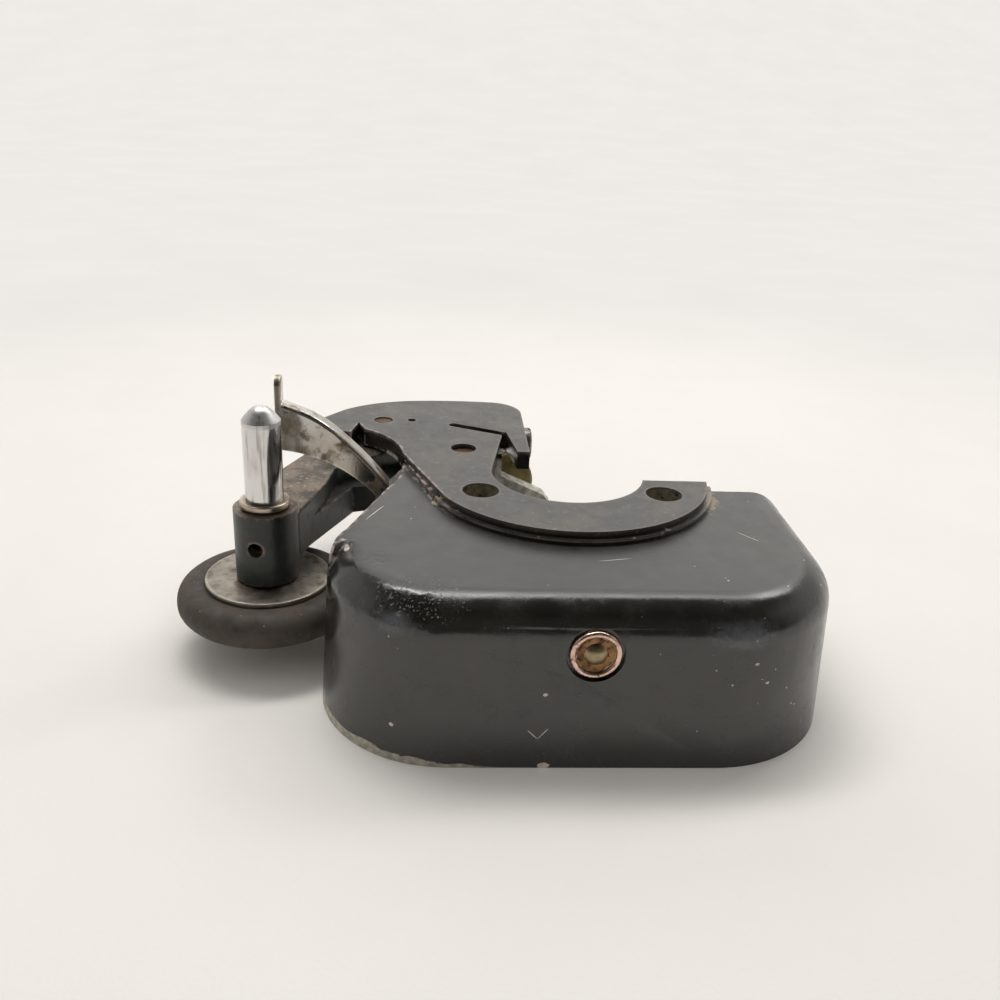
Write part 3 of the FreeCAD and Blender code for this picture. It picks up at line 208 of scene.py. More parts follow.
class Finish(Nodes):
    """One material while it is being made. Patterns read Object coordinates, and every length
    is given in millimetres, apart from those of far_away, which are in metres."""

    def __init__(self, name):
        self.material = bpy.data.materials.new(name)
        self.material.use_nodes = True
        super().__init__(self.material.node_tree)
        self.shader = self.tree.nodes["Principled BSDF"]
        self.place = self.add("ShaderNodeTexCoord").outputs["Object"]
        self.parts = None
        self.torn = None

    def along(self, axis):
        """One coordinate of the surface point, in metres."""
        if self.parts is None:
            self.parts = self.add("ShaderNodeSeparateXYZ")
            self.feed(self.parts.inputs[0], self.place)
        return self.parts.outputs["XYZ".index(axis)]

    def past(self, axis, start, end):
        """0 at start, 1 at end and beyond it, along an axis; start may be the larger."""
        return self.ramp(self.along(axis), start * MM, end * MM)

    def noise(self, size, detail=4.0, stretch=(1, 1, 1), shift=0.0, roughness=0.55):
        """Soft noise from 0 to 1 whose lumps are about size across."""
        mapping = self.add("ShaderNodeMapping")
        self.feed(mapping.inputs["Vector"], self.place)
        mapping.inputs["Scale"].default_value = [1 / (size * MM * part) for part in stretch]
        mapping.inputs["Location"].default_value = (shift, shift * 0.7, shift * 1.3)
        node = self.add("ShaderNodeTexNoise")
        self.feed(node.inputs["Vector"], mapping.outputs[0])
        node.inputs["Scale"].default_value = 1.0
        node.inputs["Detail"].default_value = detail
        node.inputs["Roughness"].default_value = roughness
        return node.outputs["Fac"]

    def clouds(self, size, low, high, **more):
        """Patches of noise: 0 where it is below low and 1 where it is above high."""
        return self.ramp(self.noise(size, **more), low, high)

    def specks(self, spacing, size):
        """Scattered dots: 1 inside size of a random point, one point for each spacing."""
        node = self.add("ShaderNodeTexVoronoi", feature="F1")
        self.feed(node.inputs["Vector"], self.place)
        node.inputs["Scale"].default_value = 1 / (spacing * MM)
        return self.ramp(node.outputs["Distance"], size / spacing, 0.6 * size / spacing)

    def near(self, place, reach, ragged=0.35, turn=0.0, about="Z", fade=0.08):
        """A ragged patch: 1 within reach, given for x, y and z, of a place. It may be turned
        about an axis by an angle in degrees, and it falls off over fade either side of its reach."""
        if self.torn is None:
            self.torn = self.calc("SUBTRACT", self.noise(1.1, detail=3, shift=12.0), 0.5)
        mapping = self.add("ShaderNodeMapping", vector_type="TEXTURE")
        self.feed(mapping.inputs["Vector"], self.place)
        mapping.inputs["Location"].default_value = [part * MM for part in place]
        mapping.inputs["Rotation"].default_value["XYZ".index(about)] = math.radians(turn)
        mapping.inputs["Scale"].default_value = [part * MM for part in reach]
        length = self.add("ShaderNodeVectorMath", operation="LENGTH")
        self.feed(length.inputs[0], mapping.outputs[0])
        distance = self.calc("ADD", length.outputs["Value"], self.both(self.torn, 4 * ragged))
        return self.ramp(distance, 1 + fade, 1 - fade)

    def marks(self, table, **more):
        """All the patches of a table, whose rows hold what near() takes."""
        return self.either(*[self.near(*row, **more) for row in table])

    def facing_up(self, low, high):
        """1 on faces that look up, whose normal's z is above high, and 0 where it is below low."""
        node = self.add("ShaderNodeSeparateXYZ")
        self.feed(node.inputs[0], self.add("ShaderNodeNewGeometry").outputs["Normal"])
        return self.ramp(node.outputs[2], low, high)

    def edges(self, width):
        """1 where the surface turns sharply within width: its normal against a rounded one."""
        rounded = self.add("ShaderNodeBevel", samples=3)
        rounded.inputs["Radius"].default_value = width * MM
        true = self.add("ShaderNodeNewGeometry").outputs["True Normal"]
        dot = self.add("ShaderNodeVectorMath", operation="DOT_PRODUCT")
        self.feed(dot.inputs[0], rounded.outputs[0])
        self.feed(dot.inputs[1], true)
        flat, sharp = 0.985, 0.93
        return self.ramp(dot.outputs["Value"], flat, sharp)

    def outside(self, mask):
        """1 where a mask is 0. As a bump's height it sinks the mask."""
        return self.calc("SUBTRACT", 1.0, mask)

    def paint(self, share, first, second):
        """A colour that goes from first to second."""
        node = self.add("ShaderNodeMix", data_type="RGBA")
        for index, value in zip((0, 6, 7), (share, first, second)):
            self.feed(node.inputs[index], value)
        return node.outputs[2]

    def coats(self, colour, *layers):
        """Paint layers over a colour in turn, each (mask, share, colour)."""
        for mask, share, tint in layers:
            colour = self.paint(mask if share == 1 else self.both(mask, share), colour, tint)
        return colour

    def shade(self, colour, amount, size, **more):
        """The colour made darker and lighter by noise."""
        dark = tuple(part * (1 - amount) for part in colour)
        light = tuple(min(part * (1 + amount), 1) for part in colour)
        return self.paint(self.clouds(size, 0.3, 0.7, **more), dark, light)

    def bumps(self, *layers):
        """Stack bump layers, each (height from 0 to 1, depth)."""
        normal = None
        for height, depth in layers:
            node = self.add("ShaderNodeBump")
            node.inputs["Distance"].default_value = depth * MM
            self.feed(node.inputs["Height"], height)
            if normal is not None:
                self.feed(node.inputs["Normal"], normal)
            normal = node.outputs[0]
        self.feed(self.shader.inputs["Normal"], normal)

    def coat_of(self, colour, roughness, metallic=0.0):
        """Feed the shader, and hand back the material."""
        for socket, value in (("Base Color", colour), ("Roughness", roughness), ("Metallic", metallic)):
            self.feed(self.shader.inputs[socket], value)
        return self.material

    def far_away(self, colour, start, end):
        """Away from the object the camera and mirrors see the plain colour, with no lamp's falloff."""
        distance = self.add("ShaderNodeVectorMath", operation="LENGTH")
        self.feed(distance.inputs[0], self.place)
        rays = self.add("ShaderNodeLightPath")
        seen = self.either(rays.outputs["Is Camera Ray"], rays.outputs["Is Glossy Ray"])
        glow = self.add("ShaderNodeEmission")
        self.feed(glow.inputs["Color"], colour)
        choose = self.add("ShaderNodeMixShader")
        self.feed(choose.inputs[0], self.both(seen, self.ramp(distance.outputs["Value"], start, end)))
        self.feed(choose.inputs[1], self.shader.outputs[0])
        self.feed(choose.inputs[2], glow.outputs[0])
        self.feed(self.tree.nodes["Material Output"].inputs["Surface"], choose.outputs[0])


def put_on(piece, material):
    """Give a piece one material."""
    piece.data.materials.clear()
    piece.data.materials.append(material)


# Marks on the guard, in millimetres. A row holds a place and its reach in x, y and z, and may
# hold how ragged the mark is, its turn in degrees and the axis of that turn.

CHIPS = (
    ((-36.6, -17.4, -2.4), (0.5, 1.0, 0.6)),
    ((-33.9, -1.0, -2.0), (0.5, 1.1, 0.8)),
    ((-35.5, -28.5, -21.0), (0.35, 0.35, 0.5)),
    ((-29.0, -35.0, -22.0), (0.35, 0.5, 0.35)),
    ((-6.9, -37.0, -27.6), (1.0, 0.6, 0.5)),
)
PITS = (
    ((-22.4, -1.6, -2.0), (1.0, 1.7, 1.2), 0.35, 38),
    ((-18.8, -5.2, -2.0), (1.9, 0.7, 1.2), 0.35, -44),
    ((-14.2, -8.9, -2.0), (2.2, 0.6, 1.2), 0.35, -28),
    ((19.4, -5.0, -2.0), (1.4, 0.6, 1.2), 0.35, 35),
    ((22.4, -0.6, -2.0), (0.6, 1.8, 1.2), 0.35, -10),
)
SCRATCHES = (
    ((-32.9, -5.4, -2.0), (3.2, 0.10, 1.0), 0.1, 65),
    ((-31.3, -37.0, -12.5), (0.12, 3.0, 1.3), 0.1, 12),
    ((-8.7, -37.0, -22.4), (1.1, 0.8, 0.09), 0.1, 43, "Y"),
    ((-7.2, -37.0, -22.2), (1.2, 0.8, 0.09), 0.1, -50, "Y"),
    ((24.4, -36.8, -13.6), (0.9, 1.5, 0.09), 0.6, 15, "Y"),
    ((4.0, -21.0, -2.0), (2.6, 0.08, 1.0), 0.1, 12),
    ((27.0, -12.0, -2.0), (2.0, 0.08, 1.0), 0.1, -50),
)
FLECKS = (
    ((22.9, -37.0, -10.9), (0.5, 2.0, 0.3)),
    ((25.0, -36.5, -14.2), (0.4, 2.0, 0.3)),
    ((15.7, -37.0, -8.2), (0.5, 1.0, 0.25)),
    ((-7.2, -37.0, -15.8), (0.45, 1.0, 0.3)),
)
DENTS = (
    ((-28.5, -32.0, -5.0), (2.0, 2.0, 1.3)),
    ((-31.5, -22.5, -3.0), (1.6, 2.0, 1.0)),
    ((-24.0, -34.5, -4.2), (1.2, 1.6, 1.0)),
    ((20.0, -34.5, -5.2), (2.4, 2.4, 1.4)),
    ((-5.6, -36.5, -5.0), (1.0, 1.4, 0.7)),
)
# Pale bluish patches in two dents of the front round: painted reflections.
DENT_REFLECTIONS = (
    ((-28.8, -33.5, -6.0), (2.2, 2.5, 1.2)),
    ((20.5, -35.5, -6.4), (3.6, 2.5, 1.5)),
)
SCREW_HOLES = (
    ((-15.6, 0.0, -2.0), (3.4, 3.4, 9.0)),
    ((15.6, 0.0, -2.0), (3.4, 3.4, 9.0)),
)


def guard_enamel(enamel):
    """Black gloss enamel on a sand casting: dusty and mottled, chipped along edges, scratched,
    pitted beside the pad and bare along one rim. Painted shade lies along the slot, painted reflections in
    two dents and a painted sparkle on the front round."""
    skin = Finish("black_enamel")
    pad_face = skin.past("Z", -0.9, -0.5)

    climb = skin.both(skin.noise(2.6, detail=6, stretch=(1, 1, 0.6)), skin.past("X", -13, -30), 2.6 * MM)
    above = skin.calc("SUBTRACT", skin.calc("SUBTRACT", skin.along("Z"), CAD_BOX[0].z), climb)
    rim = skin.both(skin.ramp(above, 0.30 * MM, 0.05 * MM), skin.past("X", -12, -20))

    edge = skin.edges(0.8)
    window_side = skin.both(skin.past("X", -19, -24), skin.past("Y", 34, 31), skin.past("Z", -5, -4))
    chips = skin.either(
        skin.both(edge, skin.clouds(1.6, 0.46, 0.56, detail=6), window_side),
        skin.both(edge, skin.clouds(2.3, 0.66, 0.71, detail=6, shift=4.0)),
        skin.marks(CHIPS))
    pits = skin.both(skin.marks(PITS), skin.clouds(0.8, 0.46, 0.54, detail=5, shift=6.0))
    scratches = skin.marks(SCRATCHES)
    flecks = skin.either(
        skin.both(skin.specks(2.2, 0.20), skin.past("X", 12, 18), skin.clouds(6, 0.44, 0.56, shift=2.0)),
        skin.both(skin.specks(4.3, 0.16), skin.clouds(8, 0.46, 0.56, shift=5.0)),
        skin.marks(FLECKS),
        skin.both(skin.specks(1.5, 0.11), skin.past("Z", -10.5, -9.0), skin.past("Z", -3.0, -4.0),
                  skin.clouds(5, 0.50, 0.60, shift=8.0)))
    # White specks on the left of the front round: a painted highlight, sparkle where the round catches the
    # light.
    painted_sparkle = skin.both(skin.near((-24.5, -30.0, -4.4), (6.0, 4.0, 2.4), 0.5, fade=0.5),
                         skin.clouds(0.42, 0.57, 0.66, detail=4, shift=14.0))
    dents = skin.marks(DENTS, ragged=0.2, fade=0.9)
    # Painted reflections in two dents of the front round.
    painted_dent_reflections = skin.marks(DENT_REFLECTIONS, ragged=0.3, fade=0.9)

    # A pale line along the step between the pad and the deck.
    pale_step_line = skin.both(skin.past("Z", -1.55, -1.40), skin.past("Z", -1.10, -1.25),
                          skin.past("Y", 14, 11), skin.clouds(5, 0.32, 0.50, detail=4, shift=11.0))
    raw = skin.both(skin.past("Z", -2.4, -3.0), skin.past("Y", 20.6, 21.2), skin.past("Y", 25.2, 24.8))
    bore = skin.both(skin.marks(SCREW_HOLES, ragged=0.0), skin.past("Z", -0.15, -0.45),
                     skin.clouds(1.6, 0.30, 0.50, detail=5))
    # Dark band along the slot beside the pad: painted shade that widens the slot's shadow side.
    painted_slot_shade = skin.near((-14.8, 31.9, 0.0), (5.8, 0.60, 0.8), 0.15, turn=-32.5, fade=0.2)
    yellowed = skin.near((24.2, 1.5, -1.4), (1.5, 4.5, 1.3), 0.6, turn=-14, fade=0.3)

    coat = skin.coats(
        skin.shade(tuple(enamel.enamel), 0.32, 14, detail=4),
        (skin.clouds(24, 0.38, 0.62, detail=3, shift=13.0), 0.4, tone(38, 34, 25)),
        (skin.clouds(3.2, 0.50, 0.76, detail=9, shift=21.0, roughness=0.66), 0.14, tone(84, 80, 68)))
    satin = skin.shade(tuple(enamel.satin), 0.34, 3, detail=9, roughness=0.64)
    dust = skin.both(skin.clouds(0.9, 0.58, 0.70, detail=6, shift=7.0), pad_face)
    brown = skin.both(skin.clouds(9, 0.48, 0.66, detail=5, shift=17.0), pad_face)
    colour = skin.coats(
        skin.paint(pad_face, coat, satin),
        (brown, 0.35, tone(92, 78, 62)),
        (dust, 0.40, tone(126, 120, 110)),
        (skin.both(edge, pad_face), 0.55, tone(122, 110, 98)),
        (pale_step_line, 0.60, tone(150, 142, 128)),
        (painted_slot_shade, 0.85, tone(26, 25, 22)),
        (yellowed, 0.65, tone(142, 122, 82)),
        (bore, 1, skin.shade(tone(112, 103, 82), 0.40, 1.2, detail=6)),
        (raw, 1, skin.shade(tuple(enamel.casting), 0.45, 1.3, detail=8)),
        (painted_dent_reflections, 0.30, tone(138, 142, 148)),
        (painted_sparkle, 0.30, tone(196, 194, 184)),
        (chips, 1, skin.shade(tuple(enamel.primer), 0.30, 1.2)),
        (pits, 1, skin.shade(tone(158, 146, 118), 0.40, 0.7)),
        (rim, 1, skin.shade(tuple(enamel.casting), 0.25, 1.0, detail=6)),
        (skin.either(flecks, scratches), 0.85, tone(204, 200, 192)))

    wall_rough = skin.mix(skin.clouds(4.5, 0.42, 0.74, detail=8, shift=3.0, roughness=0.66), 0.19, 0.36)
    pad_rough = skin.mix(skin.noise(2.4, detail=7, shift=5.0), 0.30, 0.55)
    deck_rough = skin.mix(skin.noise(3, detail=6, shift=23.0), 0.26, 0.46)
    rough = skin.mix(skin.facing_up(0.90, 0.995), wall_rough, deck_rough)
    rough = skin.mix(pad_face, rough, pad_rough)
    rough = skin.mix(skin.either(chips, rim, raw, pits, bore), rough, 0.62)
    skin.bumps((skin.noise(11, detail=1, shift=1.0), 0.20),
               (skin.noise(0.9, detail=6, shift=9.0, roughness=0.62), 0.018),
               (skin.outside(dents), 0.16),
               (skin.outside(painted_sparkle), 0.05),
               (skin.outside(skin.either(chips, rim, pits, scratches)), 0.06))
    skin.shader.inputs["IOR"].default_value = 1.72
    return skin.coat_of(colour, rough, skin.both(rim, 0.8))


def arm_finish(enamel):
    """Greenish black enamel on the arm, worn to brown metal on its top face."""
    skin = Finish("arm_enamel")
    top = skin.both(skin.facing_up(0.75, 0.92), skin.past("Z", -4.6, -4.2))
    bare = skin.both(top, skin.clouds(2.6, 0.36, 0.46, detail=7))
    edge = skin.both(skin.edges(0.7), skin.clouds(1.6, 0.48, 0.58, detail=6, shift=2.0))
    brown = skin.paint(skin.clouds(3.5, 0.35, 0.65, detail=8, shift=6.0),
                       tuple(part * 0.45 for part in enamel.arm_bare), tuple(enamel.arm_bare))
    flecked = skin.clouds(0.8, 0.58, 0.66, detail=6, shift=15.0)
    colour = skin.coats(
        skin.shade(tuple(enamel.arm_enamel), 0.40, 5, detail=6),
        (bare, 1, skin.coats(brown, (flecked, 0.5, tone(178, 170, 156)))),
        (edge, 0.8, tone(158, 136, 122)))
    rough = skin.mix(bare, skin.mix(skin.noise(4, shift=3.0), 0.24, 0.45),
                     skin.mix(skin.noise(1.2, shift=8.0), 0.35, 0.6))
    skin.bumps((skin.noise(4, detail=4), 0.14), (skin.noise(0.8, detail=5), 0.03),
               (skin.outside(bare), 0.05))
    return skin.coat_of(colour, rough, skin.both(skin.either(bare, edge), 0.75))


def bright_plate(metal):
    """Bright plated steel with brown stains, fine scratches, tiny pits and edges worn bright."""
    skin = Finish("bright_plate")
    spread = 0.12 * metal.wear
    stains = skin.clouds(5, 0.57 - spread, 0.70 - spread, detail=8, shift=2.0, roughness=0.62)
    pits = skin.specks(1.5, 0.12)
    colour = skin.coats(
        tuple(metal.chrome),
        (skin.clouds(10, 0.38, 0.62, detail=4, shift=5.0), 0.55 * metal.wear, tone(150, 138, 118)),
        (stains, 0.70, skin.shade(tuple(metal.stain), 0.4, 1.6, detail=6)),
        (pits, 0.7, tone(70, 60, 48)),
        (skin.edges(0.5), 0.8, tone(238, 234, 228)))
    rough = skin.mix(stains, skin.mix(skin.noise(3, detail=6, shift=4.0), 0.10, 0.22), 0.48)
    skin.bumps((skin.noise(9, detail=2, shift=6.0), 0.05),
               (skin.noise(0.35, detail=3, stretch=(1, 1, 6), shift=8.0), 0.004),
               (skin.outside(pits), 0.02))
    return skin.coat_of(colour, rough, 1.0)


def spindle_steel():
    """Polished spindle: bright, with fine rings from turning, a few nicks and a duller tip."""
    skin = Finish("spindle_steel")
    nicks = skin.specks(2.4, 0.13)
    colour = skin.coats(
        (0.68, 0.67, 0.66),
        (skin.clouds(4, 0.50, 0.75, detail=6, stretch=(1, 1, 1.8)), 0.45, tone(164, 146, 138)),
        # Thin dark streaks along the spindle: painted reflection.
        (skin.clouds(0.9, 0.52, 0.66, detail=4, stretch=(1, 1, 9), shift=5.0), 0.45, tone(92, 84, 80)),
        (nicks, 0.8, tone(90, 82, 74)))
    rough = skin.mix(skin.noise(2.5, detail=6, shift=2.0), 0.08, 0.22)
    rough = skin.mix(skin.past("Z", 11.4, 11.9), rough, 0.42)
    skin.bumps((skin.noise(0.22, detail=2, stretch=(40, 40, 1)), 0.002),
               (skin.outside(nicks), 0.02), (skin.noise(5, detail=2), 0.02))
    return skin.coat_of(colour, rough, 1.0)


def aged_metal(name, base, dirt, dirt_share, low_rough, grain=(1, 1, 1), size=3, bright_edge=0.45,
               metallic=1.0):
    """Bare metal gone dull: brown-black grime in clouds, brighter edges, fine grain."""
    skin = Finish(name)
    grime = skin.clouds(size, 0.75 - 0.5 * dirt_share, 0.95 - 0.5 * dirt_share,
                        detail=8, shift=3.0, roughness=0.6)
    bright = tuple(min(part * 1.8 + 0.12, 1) for part in base)
    colour = skin.coats(
        skin.shade(base, 0.22, 2, detail=6),
        (grime, 1, skin.shade(dirt, 0.35, 1)),
        (skin.edges(bright_edge), 0.75, bright))
    rough = skin.mix(grime, skin.mix(skin.noise(1.5, shift=6.0), low_rough, low_rough + 0.18), 0.62)
    skin.bumps((skin.noise(0.5, detail=4, stretch=grain), 0.012),
               (skin.noise(3, detail=4, shift=5.0), 0.05))
    return skin.coat_of(colour, rough, skin.mix(grime, metallic, 0.55 * metallic))


def rolled_brass(metal, centre, rim):
    """Tarnished brass whose rolled rim, a ring at rim from the centre, is painted pale as a
    highlight and is smoother there. The centre and the rim are in metres."""
    skin = Finish("ferrule_brass")
    away = skin.add("ShaderNodeVectorMath", operation="DISTANCE")
    skin.feed(away.inputs[0], skin.place)
    away.inputs[1].default_value = centre
    ragged = skin.calc("ADD", away.outputs["Value"], skin.both(skin.noise(1.0, detail=5), 0.9 * MM))
    # Pale ring on the rolled rim: a painted highlight, with the brass smoother there.
    bright_edge = skin.both(skin.ramp(ragged, rim + 0.15 * MM, rim + 0.5 * MM),
                       skin.clouds(0.7, 0.30, 0.46, detail=4, shift=6.0))
    tarnish = skin.clouds(0.8, 0.48, 0.66, detail=7, shift=3.0)
    colour = skin.coats(
        skin.shade(tuple(metal.brass), 0.3, 1.4, detail=5),
        (tarnish, 1, tone(66, 48, 34)),
        (bright_edge, 1, skin.shade(tone(222, 190, 172), 0.15, 0.8)))
    rough = skin.mix(bright_edge, skin.mix(skin.noise(1.2, shift=9.0), 0.34, 0.56), 0.20)
    skin.bumps((skin.noise(0.5, detail=4), 0.012), (skin.noise(1.6, detail=3, shift=5.0), 0.05))
    return skin.coat_of(colour, rough, skin.mix(tarnish, 1.0, 0.7))


def tyre_rubber(metal):
    """Old rubber: matt, brown-black and rough, with pale specks of lint."""
    skin = Finish("tyre_rubber")
    lint = skin.either(skin.specks(1.9, 0.13), skin.specks(3.7, 0.22))
    dusty = skin.clouds(3.5, 0.42, 0.72, detail=7)
    colour = skin.coats(
        skin.shade(tuple(metal.rubber), 0.35, 2, detail=8),
        (dusty, 1, tone(84, 74, 66)),
        (lint, 0.75, tone(168, 152, 138)))
    skin.bumps((skin.noise(0.45, detail=6), 0.05), (skin.noise(4, detail=3), 0.15), (lint, 0.05))
    return skin.coat_of(colour, skin.mix(dusty, 0.62, 0.88))


def floor_cloth(stage):
    """Pale cloth, plain in the distance."""
    cloth = Finish("floor_cloth")
    cloth.bumps((cloth.noise(70, detail=1), 2.0), (cloth.noise(0.7, detail=3), 0.04))
    colour = cloth.shade(tuple(stage.cloth), 0.015, 60)
    material = cloth.coat_of(colour, 0.9)
    cloth.far_away(colour, 0.15, 0.36)
    return material


# Meshes


def softened(node, width, angle=30):
    """A copy of a node's mesh, merged, its flat parts joined into whole faces, smooth over
    curves and rounded along its edges by a Bevel."""
    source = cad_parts[node]
    mesh = source.data.copy()
    mesh.name = "dressed_" + node
    build = bmesh.new()
    build.from_mesh(mesh)
    bmesh.ops.remove_doubles(build, verts=build.verts, dist=0.002 * MM)
    bmesh.ops.dissolve_limit(build, angle_limit=math.radians(0.5), verts=build.verts, edges=build.edges)
    build.to_mesh(mesh)
    build.free()
    mesh.shade_smooth()
    mesh.set_sharp_from_angle(angle=math.radians(angle))
    piece = bpy.data.objects.new("dressed_" + node, mesh)
    bpy.context.scene.collection.objects.link(piece)
    bevel = piece.modifiers.new("edges", "BEVEL")
    bevel.width = width
    bevel.segments = 2
    bevel.limit_method = "ANGLE"
    bevel.angle_limit = math.radians(angle)
    bevel.use_clamp_overlap = True
    flat = piece.modifiers.new("flat_faces", "WEIGHTED_NORMAL")
    flat.keep_sharp = True
    flat.weight = 100
    return piece


def softened_profile(corners, radius):
    """Each corner P becomes the parabola (1-t)^2 A + 2t(1-t) P + t^2 B, where A and B lie on its
    two sides at the given distance from it, or nearer where a side is short."""
    corners = np.asarray(corners, float)
    corner = corners[1:-1]
    back = corners[:-2] - corner
    onward = corners[2:] - corner
    back_length = np.linalg.norm(back, axis=1, keepdims=True)
    onward_length = np.linalg.norm(onward, axis=1, keepdims=True)
    reach = np.minimum(radius, 0.45 * np.minimum(back_length, onward_length))
    start = corner + back / back_length * reach
    finish = corner + onward / onward_length * reach
    t = np.linspace(0, 1, 5)[None, :, None]
    curve = ((1 - t) ** 2 * start[:, None] + 2 * t * (1 - t) * corner[:, None]
             + t ** 2 * finish[:, None])
    return np.vstack([corners[:1], curve.reshape(-1, 2), corners[-1:]])


def arc_profile(centre, radius, start, finish, steps):
    """Points (c + R cos a, h + R sin a) for angles a from start to finish, in degrees."""
    angle = np.radians(np.linspace(start, finish, steps))
    return np.stack([centre[0] + radius * np.cos(angle), centre[1] + radius * np.sin(angle)], axis=1)


def lathe(name, profile, centre, count, axis=(0, 0, 1), wave=None):
    """Surface of revolution: the profile point (r, h) goes to centre + r cos(a) across
    + r sin(a) (axis x across) + h axis, for count angles a evenly round the axis, where across
    is the x axis. A wave function of (a, h, r) may add to the radius. The profile runs upwards
    with the axis on its left."""
    profile = np.asarray(profile, float)
    angle = np.linspace(0, 2 * np.pi, count, endpoint=False)
    radius = np.repeat(profile[None, :, 0], count, axis=0)
    height = np.repeat(profile[None, :, 1], count, axis=0)
    if wave is not None:
        radius = radius + wave(angle[:, None], height, radius)
    across, axis = np.array((1.0, 0.0, 0.0)), np.array(axis, float)
    sideways = np.cross(axis, across)
    points = (np.array(centre) + radius[..., None] * np.cos(angle)[:, None, None] * across
              + radius[..., None] * np.sin(angle)[:, None, None] * sideways
              + height[..., None] * axis)
    rows = profile.shape[0]
    near = np.arange(count)[:, None] * rows + np.arange(rows - 1)[None, :]
    far = (np.arange(count)[:, None] + 1) % count * rows + np.arange(rows - 1)[None, :]
    quads = np.stack([near, far, far + 1, near + 1], axis=-1).reshape(-1, 4)
    mesh = bpy.data.meshes.new(name)
    mesh.from_pydata(points.reshape(-1, 3), [], quads)
    build = bmesh.new()
    build.from_mesh(mesh)
    bmesh.ops.remove_doubles(build, verts=build.verts, dist=0.001 * MM)
    bmesh.ops.recalc_face_normals(build, faces=build.faces)
    build.to_mesh(mesh)
    build.free()
    mesh.shade_smooth()
    mesh.set_sharp_from_angle(angle=math.radians(40))
    piece = bpy.data.objects.new(name, mesh)
    bpy.context.scene.collection.objects.link(piece)
    return piece


def settle(piece, material, body, slot, *nodes):
    """Give a piece its material and its body, and hide the nodes that it stands for. The slot is not used."""
    put_on(piece, material)
    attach(piece, body)
    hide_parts(*nodes)


def ring(name, node, count, radius, bore):
    """A flat ring the size of a node's box: a rectangle from the bore to the box's side, with
    its corners rounded, turned about the box's upright axis."""
    low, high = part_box(node)
    centre = middle_of(node)
    outer = (high.x - low.x) / 2
    base, top = low.z - centre.z, high.z - centre.z
    seam = (bore, (base + top) / 2)
    profile = [seam, (bore, base), (outer, base), (outer, top), (bore, top), seam]
    return lathe(name, softened_profile(profile, radius), centre, count)


# Operators


class Step(bpy.types.Operator):
    """Shared part of the operators: undo and registration."""
    bl_options = {"REGISTER", "UNDO"}


class WINDER_OT_guard(Step):
    """Dress the cast guard with its enamel, chips and bare rim"""
    bl_idname = "winder.guard"
    bl_label = "Guard Casting"

    def execute(self, context):
        form, enamel = context.scene.winder_form, context.scene.winder_enamel
        piece = softened("guard_housing", form.casting_round)
        settle(piece, guard_enamel(enamel), "guard", "black_enamel", "guard_housing")
        return {"FINISHED"}


class WINDER_OT_arm(Step):
    """Dress the swinging arm and its two bushings"""
    bl_idname = "winder.arm"
    bl_label = "Winder Arm"

    def execute(self, context):
        scene = context.scene
        form, enamel, metal = scene.winder_form, scene.winder_enamel, scene.winder_metal
        piece = softened("winder_arm", 0.6 * form.casting_round, angle=40)
        settle(piece, arm_finish(enamel), "arm", "arm_enamel", "winder_arm")
        bronze = aged_metal("bearing_bronze", tuple(metal.bronze), tone(70, 54, 36), 0.5, 0.3)
        for node in ("upper_bushing", "lower_bushing"):
            put_on(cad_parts[node], bronze)
        return {"FINISHED"}


class WINDER_OT_latch(Step):
    """Dress the bright stop latch, its release plate and its rivets"""
    bl_idname = "winder.latch"
    bl_label = "Stop Latch"

    def execute(self, context):
        form, metal = context.scene.winder_form, context.scene.winder_metal
        latch = softened("stop_latch", form.sheet_round)
        settle(latch, bright_plate(metal), "latch", "bright_plate", "stop_latch")
        tarnish = aged_metal("release_metal", tuple(metal.olive), tone(88, 76, 48), 0.5, 0.34,
                             bright_edge=0.8, metallic=0.5)
        plate = softened("release_plate", form.sheet_round)
        settle(plate, tarnish, "latch", "release_metal", "release_plate")
        rivets = softened("latch_rivets", form.screw_round)
        settle(rivets, tarnish, "latch", "release_metal", "latch_rivets")
        return {"FINISHED"}


